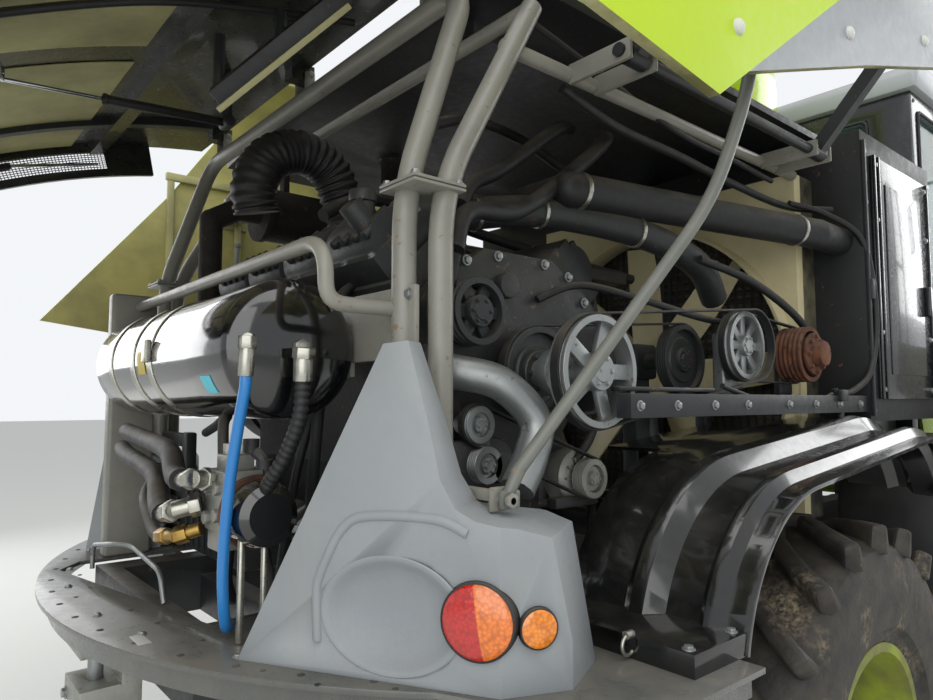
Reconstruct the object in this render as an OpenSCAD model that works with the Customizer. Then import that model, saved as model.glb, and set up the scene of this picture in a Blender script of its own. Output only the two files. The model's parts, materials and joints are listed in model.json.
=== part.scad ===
// Forage harvester, self propelled, shown with its engine bay open.
// +X is forward, +Y is the machine's left side, +Z is up, the ground is z = 0.

/* [Layout] */
// Front axle, measured forward from the middle of the machine
front_axle_x = 1900; // [1850:5:1950]
// Distance between the axles
wheelbase = 2950; // [2900:5:3000]

/* [Front wheels] */
// Outer radius of the front tyres, over the lugs
front_tyre_r = 894; // [870:1:900]
// Width of the front tyres
front_tyre_w = 650; // [600:10:660]
// Radius of the front rims
front_rim_r = 430; // [410:5:440]
// Middle of each front tyre from the centre line
front_wheel_y = 1175; // [1165:5:1200]

/* [Rear wheels] */
// Outer radius of the rear tyres, over the lugs
rear_tyre_r = 627; // [600:1:640]
// Width of the rear tyres
rear_tyre_w = 460; // [430:10:470]
// Radius of the rear rims
rear_rim_r = 300; // [280:5:310]
// Middle of each rear tyre from the centre line
rear_wheel_y = 1130; // [1120:5:1150]
// King pins from the centre line
king_pin_y = 780; // [770:5:790]

/* [Chassis] */
// Middle of each frame rail from the centre line
rail_y = 420; // [400:5:430]
// Width of a frame rail
rail_w = 100; // [80:5:110]
// Height of a frame rail
rail_h = 180; // [150:5:190]
// Top of the frame rails above the ground
rail_top = 1058; // [1040:1:1070]
// Thickness of the rear deck plate
deck_t = 12; // [8:1:16]
// How far the deck reaches behind the rear axle
deck_rear = 1785; // [1750:5:1800]
// Half width of the deck
deck_half_w = 1400; // [1380:5:1410]

/* [Engine] */
// Crankshaft behind the rear axle
crank_dx = -795; // [-810:5:-780]
// Crankshaft above the ground
crank_z = 1670; // [1660:5:1680]
// Angle of each cylinder bank from upright
bank_angle = 45; // [42:1:47]
// Right end of the engine
engine_right_y = -750; // [-760:5:-745]
// Left end of the engine
engine_left_y = 450; // [430:5:460]

/* [Cooling] */
// Rear face of the radiator ahead of the rear axle
radiator_dx = 575; // [570:5:600]
// Middle of the fan, to the right of the centre line
fan_y = -250; // [-260:5:-240]
// Fan shaft above the ground
fan_z = 1700; // [1695:5:1720]
// Radius of the opening in the fan shroud
shroud_r = 636; // [620:2:638]
// Radius over the fan blades
fan_r = 600; // [580:5:605]
// Number of fan blades
fan_blades = 8; // [6:1:10]

/* [Bodywork] */
// Outer face of the side panels from the centre line
panel_y = 1470; // [1460:5:1480]
// Thickness of the side panels
panel_t = 22; // [18:1:24]
// Length of the arms that lift the side panels
arm_len = 500; // [480:5:510]
// Rest angle of the right arms above level
arm_right_deg = 49; // [48:1:50]
// Rest angle of the left arms above level
arm_left_deg = 14; // [12:1:16]
// Length of the tailgate along its curve
tailgate_len = 1600; // [1550:10:1650]
// Thickness of the tailgate shell
tailgate_t = 24; // [18:1:28]
// Half width of the tailgate
tailgate_half_w = 1000; // [980:5:1010]

/* [Cab] */
// Floor of the cab above the ground
cab_floor_z = 1780; // [1770:5:1790]
// Top of the cab walls above the ground
cab_top_z = 3330; // [3300:5:3335]
// Half width of the cab
cab_half_w = 830; // [820:5:835]
// Thickness of the cab's walls and pillars
cab_wall = 55; // [50:1:60]

/* [Discharge spout] */
// Turntable behind the front axle
spout_dx = -1130; // [-1140:5:-1120]
// Bore of the turntable and spout throat
spout_bore_r = 210; // [200:5:215]
// Width of the spout duct
spout_w = 360; // [340:5:370]
// Underside of the lowered spout above the ground
spout_pivot_z = 3560; // [3550:5:3570]
// Length of the spout arm
spout_len = 2700; // [2600:10:2750]

/* [Intake] */
// Width of the intake housing
intake_w = 860; // [840:5:870]
// Front face of the intake ahead of the front axle
intake_dx = 1676; // [1650:2:1690]
// Radius of the feed rolls
feed_roll_r = 130; // [120:2:134]

/* [Hidden] */
$fn = 48;
gap = 0.3;

R = front_axle_x - wheelbase;
F = front_axle_x;
rail_bottom = rail_top - rail_h;
deck_top = rail_top + deck_t;
rail_in = rail_y - rail_w / 2;
rail_out = rail_y + rail_w / 2;
crank_x = R + crank_dx;

// Colours
grey = "#6f7376";
dark = "#2b2d2f";
black = "#17181a";
cast = "#55595b";
lime = "#a9c522";
silver = "#a4a8a8";
cream = "#cfc7a3";
rust = "#6b4a39";

// Shared shapes
module both() {
  children();
  mirror([0, 1, 0]) children();
}

module slab(x0, x1, y0, y1, z0, z1) {
  translate([x0, y0, z0]) cube([x1 - x0, y1 - y0, z1 - z0]);
}

module rod(a, b, r) {
  v = b - a;
  l = norm(v);
  translate(a) rotate([0, acos(v[2] / l), atan2(v[1], v[0])]) cylinder(h = l, r = r);
}

module pipe(points, r, bend = 1.03, turn = 0) {
  for (i = [0 : len(points) - 2]) rod(points[i], points[i + 1], r, $fn = 32);
  for (i = [1 : 1 : len(points) - 2]) translate(points[i]) rotate([0, turn, 0]) sphere(r = r * bend, $fn = 32);
}

module bar_y(x, z, y0, y1, r) {
  translate([x, y0, z]) rotate([-90, 0, 0]) cylinder(h = y1 - y0, r = r);
}

module bar_x(y, z, x0, x1, r) {
  translate([x0, y, z]) rotate([0, 90, 0]) cylinder(h = x1 - x0, r = r);
}

module bar_z(x, y, z0, z1, r) {
  translate([x, y, z0]) cylinder(h = z1 - z0, r = r);
}

// A side view outline in X and Z, given its thickness from y0 to y1
module side_plate(y0, y1) {
  translate([0, y1, 0]) rotate([90, 0, 0]) linear_extrude(height = y1 - y0) children();
}

// A front view outline in Y and Z, given its length from x0 to x1
module front_plate(x0, x1) {
  translate([x0, 0, 0]) rotate([90, 0, 90]) linear_extrude(height = x1 - x0) children();
}

// Outline of a belt round two pulleys, t outside the pulley faces
module belt_outline(p, rp, q, rq, t) {
  d = norm(q - p);
  along = atan2(q[1] - p[1], q[0] - p[0]);
  tilt = acos((rp - rq) / d);
  a = rp + t;
  b = rq + t;
  u1 = [cos(along + tilt), sin(along + tilt)];
  u2 = [cos(along - tilt), sin(along - tilt)];
  translate(p) circle(r = a);
  translate(q) circle(r = b);
  polygon([p + a * u1, p + a * u2, q + b * u2, q + b * u1]);
}

module belt(p, rp, q, rq, y0, y1, t = 9) {
  side_plate(y0, y1) difference() {
    belt_outline(p, rp, q, rq, t);
    belt_outline(p, rp, q, rq, gap);
  }
}

// Rails, cross members and the stands that carry the cab, radiator and spout
hitch_plate_x = R - 1560;
fork_half = 150;
fork_pin_r = 40;
outrigger_x = [R + 1000, R + 1750];
outrigger_z1 = rail_bottom - 160;
axle_beam_z0 = 560;
axle_beam_z1 = 700;
axle_pin_z = (axle_beam_z0 + axle_beam_z1) / 2;
radiator_z0 = 1170;
turret_x = F + spout_dx;
turret_base_z = 2900;
cab_rear_x = F - 760;
cab_front_x = F + 900;
module main_frame() color(dark) {
  both() slab(hitch_plate_x, F + 300, rail_in, rail_out, rail_bottom, rail_top);
  cross = [
    // start, end, bottom, top
    [hitch_plate_x, hitch_plate_x + 60, rail_bottom, rail_top],
    [R - 1250, R - 1170, rail_bottom, rail_top - 60],
    [R - fork_half - 40, R + fork_half + 40, rail_bottom, rail_top - 30],
    [R + radiator_dx, R + radiator_dx + 120, rail_bottom, rail_top - 20],
    [turret_x + 260, turret_x + 340, rail_bottom, rail_top - 20]
  ];
  for (c = cross) slab(c[0], c[1], -rail_in - 1, rail_in + 1, c[2], c[3]);
  for (s = [-1, 1]) difference() {
    slab(R + s * (fork_half - 20) - 20, R + s * (fork_half - 20) + 20, -140, 140,
      axle_beam_z0 - 20, rail_bottom + 20);
    bar_x(0, axle_pin_z, R - fork_half - 20, R + fork_half + 20, fork_pin_r);
  }
  bar_x(0, axle_pin_z, R - fork_half - 25, R + fork_half + 25, fork_pin_r);
  both() {
    slab(F + 299, intake_pin[0] + 60, -intake_w / 2 - 40, -intake_w / 2 - 10, rail_bottom + 20, rail_top - 20);
    bar_y(intake_pin[0], intake_pin[1], -intake_w / 2 - 12, -intake_w / 2 + 10, intake_pin_r);
  }
  both() {
    slab(R + radiator_dx, R + radiator_dx + 120, rail_in, 640, rail_top - 90, rail_top);
    slab(cab_rear_x - 60, cab_rear_x + 40, rail_in, rail_out, rail_top - 10, cab_floor_z - 60);
    slab(F + 200, F + 300, rail_in, rail_out, rail_top - 10, cab_floor_z - 60);
    slab(turret_x - 330, turret_x - 250, rail_in, rail_out, rail_top - 10, turret_base_z - 40);
    slab(cab_rear_x - 60, F + 300, rail_in, rail_out, cab_floor_z - 120, cab_floor_z - 60);
    for (x = outrigger_x) {
      slab(x, x + 80, rail_out - 10, 1240, outrigger_z1 - 60, outrigger_z1);
      slab(x, x + 80, rail_in, rail_out, outrigger_z1 - 60, rail_bottom + 10);
    }
  }
  // Beam along the right side of the engine bay, on two bent arms from the rail
  slab(R - 755, housing_x0 - gap, -1084, -1040, side_beam_z0, side_beam_z1);
  for (x = [dish[0] - 30, clutch[0] - 30]) {
    slab(x, x + 60, -1041, -580, side_beam_z0, side_beam_z1);
    slab(x, x + 60, -620, -580, rail_top - 70, side_beam_z0 + 1);
    slab(x, x + 60, -581, -rail_out + 1, rail_top - 70, rail_top - 20);
  }
}

// Rear deck: a plate with a round rear edge and square wings, a rim under it and an open middle
deck_edge_r = 1500;
module deck_plan(d) {
  intersection() {
    translate([R - deck_rear + deck_edge_r, 0]) circle(r = deck_edge_r - d, $fn = 96);
    translate([R - deck_rear - 1, -deck_half_w + d]) square([deck_rear - 759, 2 * (deck_half_w - d)]);
  }
  for (s = [-1, 1]) polygon([
    [R - 1340 + d, s * 1060], [R - 1215 + d, s * (1310 - d)], [R - 1150 + d, s * (deck_half_w - d)],
    [R - 760, s * (deck_half_w - d)], [R - 760, s * 1060]
  ]);
}
module deck_well() {
  polygon([
    [R - 1675, 410], [R - 1505, -430], [R - 1060, -436], [R - 1060, -480], [R - 700, -480],
    [R - 700, 500], [R - 1600, 500]
  ]);
}
module rear_deck() color(dark) {
  difference() {
    translate([0, 0, rail_top]) linear_extrude(height = deck_t) deck_plan(0);
    translate([0, 0, rail_top - 1]) linear_extrude(height = deck_t + 2) deck_well();
  }
  difference() {
    translate([0, 0, rail_top - 55]) linear_extrude(height = 56) deck_plan(30);
    translate([0, 0, rail_top - 60]) linear_extrude(height = 62) deck_plan(42);
    slab(R - 1100, R - 500, -1360, 1360, rail_top - 70, rail_top);
  }
  both() for (x = [R - 1340, R - 900])
    slab(x, x + 60, rail_out, 1240, rail_top - 60, rail_top + 1);
}

// Moves each side of an outline inwards by d; the points run clockwise
function unit(v) = v / norm(v);
function right_of(v) = [v[1], -v[0]];
function inset(p, d) = [
  for (i = [0 : len(p) - 1])
    let (
      n = len(p),
      m = right_of(unit(p[i] - p[(i + n - 1) % n])),
      k = right_of(unit(p[(i + 1) % n] - p[i]))
    )
    p[i] + d * (m + k) / (1 + m * k)
];

// Lamp pods: moulded corner housings with a tall fin, in a plane swept back from the deck
pod_corner = [R - 1547, -683];
pod_sweep = -59.9;
pod_wall = 26;
lamp_u = 521;
lamp_z = 131;
lamp_r = 72;
marker_u = 620;
marker_w = 43;
marker_z = 118;
marker_r = 38;
marker_turn = -53;
pod_outline = [
  [0, 0], [325, 640], [379, 645], [425, 474], [446, 381], [476, 328], [515, 308], [590, 296],
  [645, 276], [690, 0]
];
pod_plan = [[0, 0], [0, 250], [692, 250], [676, 85], [563, 0]];
pod_side = [[0, 0], [0, 650], [60, 650], [128, 326], [250, 298], [250, 0]];
module in_pod() {
  translate([pod_corner[0], pod_corner[1], deck_top]) rotate([0, 0, pod_sweep]) children();
}
module from_behind(w0, w1) {
  translate([0, w1, 0]) rotate([90, 0, 0]) linear_extrude(height = w1 - w0) children();
}
module pod_shell() {
  difference() {
    intersection() {
      from_behind(0, 300) polygon(pod_outline);
      linear_extrude(height = 700) polygon(pod_plan);
      rotate([90, 0, 90]) linear_extrude(height = 800) polygon(pod_side);
    }
    intersection() {
      translate([0, 0, -pod_wall - 1]) from_behind(pod_wall, 320) polygon(inset(pod_outline, pod_wall));
      translate([0, 0, -10]) linear_extrude(height = 700)
        polygon([[pod_wall, pod_wall], [pod_wall, 320], [660, 320], [650, 100], [554, pod_wall]]);
    }
    translate([385, -358, 122]) sphere(r = 376, $fn = 96);
    translate([lamp_u, -20, lamp_z]) rotate([-90, 0, 0]) cylinder(h = 80, r = lamp_r + gap);
    translate([marker_u, marker_w, marker_z]) rotate([0, 0, marker_turn]) rotate([0, 90, 0])
      translate([0, 0, -80]) cylinder(h = 160, r = marker_r + gap);
  }
}
module lamp_pods() color(grey) both() in_pod() pod_shell();

// A round lens with a low crown of height c, its rim at z = 0
module lens(r, depth, c) {
  crown_r = (r * r + c * c) / (2 * c);
  translate([0, 0, -depth]) cylinder(h = depth, r = r);
  intersection() {
    translate([0, 0, c - crown_r]) sphere(r = crown_r, $fn = 96);
    translate([0, 0, -1]) cylinder(h = c + 1, r = r);
  }
}
module tail_lamps() color("#b3261e") both() in_pod() {
  translate([lamp_u, -10, lamp_z]) rotate([90, 0, 0]) lens(lamp_r, 36, 14);
  translate([marker_u, marker_w, marker_z]) rotate([0, 0, marker_turn]) rotate([0, 90, 0])
    translate([0, 0, 8]) lens(marker_r, 34, 8);
}

// Posts, roof tubes, cross tubes, tank column and the rail over the tank
post_r = 28;
post1 = [R - 1255, -850];
post2 = [R - 1195, -905];
post_bend_z = 2070;
roof_tube_r = 19;
roof_tube_y = 900;
roof_tube_z = 2470;
hinge_x = R - 1075;
hinge_z = 2690;
hinge_tube_z = 2615;
hinge_lug_y = [-720, 0, 720];
hinge_pin_r = 11;
arm_closed_deg = 49;
arm_pivot_y = panel_y - panel_t - 48 - arm_len * cos(arm_closed_deg);
arm_x = [R - 700, R + 350];
arm_tube_r = 17;
arm_pin_r = 10;
arm_lug = 46;
stay_foot = [R - 1186, -1100, 1405];
stay_pin_r = 9;
tank_x = R - 1425;
tank_z = 1715;
tank_r = 160;
tank_y0 = -700;
tank_y1 = 500;
module post_frame() color(grey) {
  pipe([[post1[0], post1[1], deck_top], [post1[0], post1[1], post_bend_z], [hinge_x, post1[1], hinge_tube_z],
    [hinge_x, -post1[1], hinge_tube_z], [post1[0], -post1[1], post_bend_z], [post1[0], -post1[1], deck_top]], post_r);
  both() {
    pipe([[post2[0], post2[1], deck_top], [post2[0], post2[1], post_bend_z],
      [R - 903, post2[1], 2600]], post_r);
    slab(post1[0] - 40, post2[0] + 42, post2[1] - 40, post1[1] + 40, post_bend_z - 8, post_bend_z + 8);
    slab(post1[0] - 40, post2[0] + 42, post2[1] - 40, post1[1] + 40, deck_top, deck_top + 14);
    bar_x(-roof_tube_y, roof_tube_z, R - 1000, R + radiator_dx - 30 - gap, roof_tube_r);
    // Foot bracket and pin of the panel stay
    slab(stay_foot[0] - 24, stay_foot[0] + 24, stay_foot[1] + 14, stay_foot[1] + 24,
      stay_foot[2] - 24, stay_foot[2] + 24);
    slab(stay_foot[0] - 12, stay_foot[0] + 12, stay_foot[1] + 20, post2[1], stay_foot[2] - 6,
      stay_foot[2] + 16);
    bar_y(stay_foot[0], stay_foot[2], stay_foot[1] - 20, stay_foot[1] + 20, stay_pin_r);
    bar_y(stay_foot[0], stay_foot[2], stay_foot[1] - 24, stay_foot[1] - 14, stay_pin_r + 7);
    // Lugs for the panel arms
    for (x = arm_x) for (s = [-1, 1]) difference() {
      translate([s > 0 ? x + arm_lug : x - arm_lug - 14, -arm_pivot_y - 30, roof_tube_z - 28])
        cube([14, arm_pivot_y - roof_tube_y + 32, 56]);
      bar_x(-arm_pivot_y, roof_tube_z, x - 90, x + 90, arm_tube_r + gap);
    }
  }
  rod([R - 903, post2[1], 2600], [R - 903, -post2[1], 2600], 20);
  for (y = hinge_lug_y) for (s = [-1, 1]) {
    slab(hinge_x - 18, hinge_x + 18, y + s * 36 - 8, y + s * 36 + 8, hinge_tube_z, hinge_z);
    bar_y(hinge_x, hinge_z, y + s * 36 - 8, y + s * 36 + 8, 18);
  }
  for (y = hinge_lug_y) bar_y(hinge_x, hinge_z, y - 40, y + 40, hinge_pin_r);
  // Rail over the tank, from the left post to the plate beside the tank
  pipe([[post1[0], -post1[1], 1925], [R - 1440, 800, 1925], [R - 1440, -790, 1935],
    [R - 1440, -835, 1890], [R - 1440, -835, 1800], [R - 1256, -835, 1800]], 17);
  slab(R - 1262, R - 1248, -900, -500, 1690, 1850);
  slab(tank_x + tank_r + gap, R - 1250, -640, -560, tank_z - 60, tank_z + 40);
  // Column that carries the left end of the tank
  slab(R - 1530, R - 1380, tank_y1 + gap, tank_y1 + 60, deck_top, 1970);
}

// Pressure tank lying across the machine
tank_dome_r = 260;
module tank_dome(y, side) {
  depth = tank_dome_r - sqrt(tank_dome_r * tank_dome_r - tank_r * tank_r);
  intersection() {
    translate([tank_x, y - side * (tank_dome_r - depth), tank_z]) sphere(r = tank_dome_r, $fn = 96);
    bar_y(tank_x, tank_z, y - (side > 0 ? 1 : depth + 1), y + (side > 0 ? depth + 1 : 1), tank_r);
  }
}
module pressure_tank() color(black) {
  depth = tank_dome_r - sqrt(tank_dome_r * tank_dome_r - tank_r * tank_r);
  bar_y(tank_x, tank_z, tank_y0 + depth, tank_y1 - depth, tank_r);
  tank_dome(tank_y0 + depth, -1);
  bar_y(tank_x, tank_z, tank_y1 - depth - 1, tank_y1, 60);
  for (y = [-120, 260]) difference() {
    bar_y(tank_x, tank_z, y - 22, y + 22, tank_r + 4);
    slab(tank_x + tank_r - 8, tank_x + tank_r + 40, y - 40, y + 40, tank_z - 200, tank_z + 200);
  }
  // Outlet elbow at the right end
  bar_z(R - 1500, -620, tank_z - 200, tank_z - 90, 18);
}

// Engine: a vee block across the machine
bank_deck = 430;
bank_half = 125;
cylinders = 4;
cylinder_pitch = 260;
manifold_out = 60;
module in_bank(side) {
  translate([crank_x, 0, crank_z]) mirror([side < 0 ? 1 : 0, 0, 0]) rotate([0, bank_angle, 0])
    children();
}
module engine_block() color(cast) {
  slab(crank_x - 215, crank_x + 215, engine_right_y + 49, engine_left_y, crank_z - 270, crank_z + 130);
  slab(crank_x - 160, crank_x + 160, engine_right_y + 90, engine_left_y - 60, crank_z - 430,
    crank_z - 269);
  for (s = [-1, 1]) in_bank(s) {
    slab(-bank_half, bank_half, engine_right_y + 60, engine_left_y - 10, 60, bank_deck);
    for (i = [0 : cylinders - 1])
      translate([bank_half - 1, engine_right_y + 120 + i * cylinder_pitch, bank_deck - 130])
        cube([31, 150, 110]);
  }
  // Timing case on the right end
  side_plate(engine_right_y, engine_right_y + 50) {
    translate([crank_x, crank_z]) circle(r = 230);
    translate([crank_x - 212, crank_z + 149]) circle(r = 110);
    translate([crank_x + 212, crank_z + 149]) circle(r = 110);
    polygon([[crank_x - 290, crank_z + 220], [crank_x - 130, crank_z + 330],
      [crank_x + 130, crank_z + 330], [crank_x + 290, crank_z + 220], [crank_x + 190, crank_z - 130],
      [crank_x - 190, crank_z - 130]]);
  }
  bar_y(crank_x, crank_z, engine_left_y - 1, engine_left_y + 60, 250);
  // Mounting feet on the rails
  both() {
    slab(crank_x - 190, crank_x + 190, rail_in + 10, rail_out - 10, crank_z - 360, crank_z - 269);
    for (x = [crank_x - 190, crank_x + 110])
      slab(x, x + 80, rail_in + 10, rail_out - 10, rail_top, crank_z - 359);
  }
}

// Valve covers with their oil filler
cover_h = 70;
module valve_covers() color(dark) {
  for (s = [-1, 1]) in_bank(s) {
    slab(-108, 108, engine_right_y + 75, engine_left_y - 25, bank_deck + gap, bank_deck + cover_h);
    intersection() {
      for (i = [0 : cylinders - 1])
        bar_y(0, bank_deck + cover_h - 20, engine_right_y + 95 + i * cylinder_pitch,
          engine_right_y + 325 + i * cylinder_pitch, 84);
      slab(-90, 90, engine_right_y, engine_left_y, bank_deck + 10, bank_deck + 200);
    }
  }
  in_bank(-1) translate([20, engine_right_y + 150, bank_deck + cover_h]) cylinder(h = 120, r = 34);
}

// Exhaust: manifold on the rear bank, cross pipe, silencer and stack
manifold_x = crank_x - (bank_half + 30 + manifold_out + bank_deck - 75) / sqrt(2);
manifold_z = crank_z + (bank_deck - 75 - bank_half - 30 - manifold_out) / sqrt(2);
manifold_r = 42;
silencer_y = 505;
silencer_z = 2340;
silencer_r = 105;
silencer_x = [R - 1000, R - 240];
stack_x = R - 380;
stack_r = 48;
stack_z = 2905;
module exhaust_system() color(rust) {
  in_bank(-1) for (i = [0 : cylinders - 1]) {
    translate([bank_half + 30 + gap, engine_right_y + 130 + i * cylinder_pitch, bank_deck - 120])
      cube([22, 130, 90]);
    translate([bank_half + 50, engine_right_y + 165 + i * cylinder_pitch, bank_deck - 105])
      cube([40, 60, 60]);
  }
  pipe([[manifold_x, engine_right_y + 120, manifold_z], [manifold_x, silencer_y, manifold_z],
    [manifold_x, silencer_y, silencer_z - 60], [manifold_x + 100, silencer_y, silencer_z],
    [silencer_x[0] + 1, silencer_y, silencer_z]], manifold_r);
  bar_x(silencer_y, silencer_z, silencer_x[0], silencer_x[1], silencer_r);
  for (x = silencer_x) bar_x(silencer_y, silencer_z, x - 12, x + 12, silencer_r + 6);
  difference() {
    bar_z(stack_x, silencer_y, silencer_z, stack_z, stack_r);
    bar_z(stack_x, silencer_y, silencer_z + 200, stack_z + 1, stack_r - 5);
  }
  // Straps from the silencer to the cross tube and the engine
  slab(R - 915, R - 891, silencer_y - 20, silencer_y + 20, silencer_z + 90, 2600 - 20 - gap);
}

// Grooved pulley with lightening holes, its outer face at y0
module pulley(x, z, y0, w, r, holes) {
  difference() {
    bar_y(x, z, y0, y0 + w, r);
    bar_y(x, z, y0 - 1, y0 + 8, r - 18);
    for (i = [1 : 1 : holes]) translate([x, 0, z]) rotate([0, i * 360 / max(holes, 1), 0])
      bar_y(r * 0.56, 0, y0 - 1, y0 + w + 1, r * 0.19);
  }
  bar_y(x, z, y0 - 6, y0 + w, r * 0.3);
}

// Belt drive on the right end: pulleys, belts, alternator and jackshaft bearings
ring_r = 125;
ring_y = engine_right_y - 80;
light_y = engine_right_y - 280;
light_r = 139;
jack = [R - 113, 1732];
jack_r = 116;
dish = [R + 2, 1776];
dish_r = 110;
dish_y = -985;
clutch = [R + 370, 1761];
clutch_r = 98;
alternator = [R - 583, 1379];
belt_w = 40;
module belt_drive() color(silver) {
  pulley(crank_x, crank_z, ring_y, belt_w, ring_r, 0);
  bar_y(crank_x, crank_z, ring_y, engine_right_y, 60);
  pulley(crank_x, crank_z, light_y, 50, light_r, 5);
  bar_y(crank_x, crank_z, light_y + 40, ring_y + 1, 45);
  pulley(R - 1007, 1819, ring_y, 60, 85, 6);
  bar_y(R - 1007, 1819, ring_y + 50, engine_right_y, 40);
  for (p = [[R - 1010, 1540, 36], [R - 985, 1440, 40]]) bar_y(p[0], p[1], ring_y, engine_right_y, p[2]);
  // Alternator
  pulley(alternator[0], alternator[1], ring_y, belt_w, 55, 0);
  bar_y(alternator[0], alternator[1], ring_y + belt_w - 1, engine_right_y + 48, 30);
  bar_y(alternator[0], alternator[1], ring_y + belt_w + 8, engine_right_y + 48, 82);
  // Jackshaft with its bearing block and stand
  pulley(jack[0], jack[1], ring_y, belt_w, jack_r, 0);
  bar_y(jack[0], jack[1], ring_y + belt_w - 1, -560, 26);
  slab(jack[0] - 60, jack[0] + 60, -680, -580, jack[1] - 60, jack[1] + 60);
  slab(jack[0] - 40, jack[0] + 40, -660, -600, rail_top - 60, jack[1] - 50);
  slab(jack[0] - 40, jack[0] + 40, -660, -rail_out, rail_top - 60, rail_top - 30);
  // Dished pulley and rusty clutch on bearing blocks carried by the side beam
  pulley(dish[0], dish[1], dish_y, 50, dish_r, 8);
  bar_y(dish[0], dish[1], dish_y + 40, -880, 24);
  slab(dish[0] - 45, dish[0] + 45, -925, -880, side_beam_z1, dish[1] + 45);
  pulley(clutch[0], clutch[1], dish_y - 40, 90, clutch_r, 4);
  bar_y(clutch[0], clutch[1], dish_y - 90, dish_y, 44);
  bar_y(clutch[0], clutch[1], dish_y + 40, -905, 30);
  slab(clutch[0] - 45, clutch[0] + 45, -935, -905, side_beam_z1, clutch[1] + 45);
  belt([crank_x, crank_z], ring_r, jack, jack_r, ring_y + 6, ring_y + 34);
  belt([crank_x, crank_z], light_r, dish, dish_r, light_y + 12, light_y + 38);
  belt(dish, dish_r, clutch, clutch_r, dish_y + 20, dish_y + 40);
}

// Main drive on the left: power band from the engine to the chopping drum
drum = [F + 150, 1320];
drum_r = 300;
main_y0 = 560;
main_y1 = 700;
main_r = 235;
drum_pulley_r = 205;
module main_drive() color(dark) {
  p = [crank_x, crank_z];
  bar_y(p[0], p[1], engine_left_y + 60, main_y1, 90);
  pulley_left(p, main_r);
  bar_y(drum[0], drum[1], channel_y + gap, main_y1, 44);
  pulley_left(drum, drum_pulley_r);
  belt(p, main_r, drum, drum_pulley_r, main_y0 + 8, main_y1 - 8, 14);
}
module pulley_left(p, r) {
  difference() {
    bar_y(p[0], p[1], main_y0, main_y1, r);
    bar_y(p[0], p[1], main_y1 - 60, main_y1 + 1, r - 25);
    for (i = [0 : 4]) translate([p[0], 0, p[1]]) rotate([0, i * 72, 0])
      bar_y(r * 0.55, 0, main_y0 - 1, main_y1 + 1, r * 0.17);
  }
  bar_y(p[0], p[1], main_y1 - 70, main_y1 - 10, r * 0.3);
}

// Radiator with its fan shroud and side beam
side_beam_z0 = 1556;
side_beam_z1 = 1616;
radiator_x = R + radiator_dx;
radiator_half = 655;
radiator_z1 = 2480;
fin_pitch = 34;
module radiator() color(cream) {
  y0 = fan_y - radiator_half;
  y1 = fan_y + radiator_half;
  foot = 350;
  slab(radiator_x + 40, radiator_x + 125, y0, y1, radiator_z0 - 20, radiator_z1);
  slab(radiator_x, radiator_x + 41, y0, y1, radiator_z0 - 20, radiator_z0);
  slab(radiator_x, radiator_x + 119, fan_y - foot, fan_y + foot, rail_top, radiator_z0 - 19);
  for (z = [radiator_z0 : fin_pitch : radiator_z1 - 10]) slab(radiator_x + 22, radiator_x + 41, y0 + 20, y1 - 20, z, z + 12);
  difference() {
    union() {
      slab(radiator_x - 30, radiator_x, y0, y1, radiator_z0 - 20, radiator_z1);
      slab(radiator_x - 30, radiator_x, fan_y - foot, fan_y + foot, rail_top, radiator_z0 - 19);
    }
    bar_x(fan_y, fan_z, radiator_x - 31, radiator_x + 1, shroud_r);
  }
  for (y = [y0, y1 - 20]) slab(radiator_x - 1, radiator_x + 41, y, y + 20, radiator_z0 - 1, radiator_z1);
  difference() {
    bar_x(fan_y, fan_z, radiator_x - 110, radiator_x - 29, shroud_r + 12);
    bar_x(fan_y, fan_z, radiator_x - 111, radiator_x - 28, shroud_r);
  }
  // Fan motor in front of the core
  bar_x(fan_y, fan_z, radiator_x - 30, radiator_x + 41, 90);
  bar_x(fan_y, fan_z, radiator_x - 105, radiator_x - 29, 22);
}
module cooling_fan() color(cream) {
  difference() {
    bar_x(fan_y, fan_z, radiator_x - 105, radiator_x - 35, 120);
    bar_x(fan_y, fan_z, radiator_x - 110, radiator_x - 30, 22 + gap);
  }
  for (i = [0 : fan_blades - 1]) translate([radiator_x - 70, fan_y, fan_z])
    rotate([i * 360 / fan_blades, 0, 0]) translate([0, 0, 100]) rotate([0, 0, 28])
      translate([-4, -75, 0]) cube([8, 150, fan_r - 112]);
}

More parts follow.
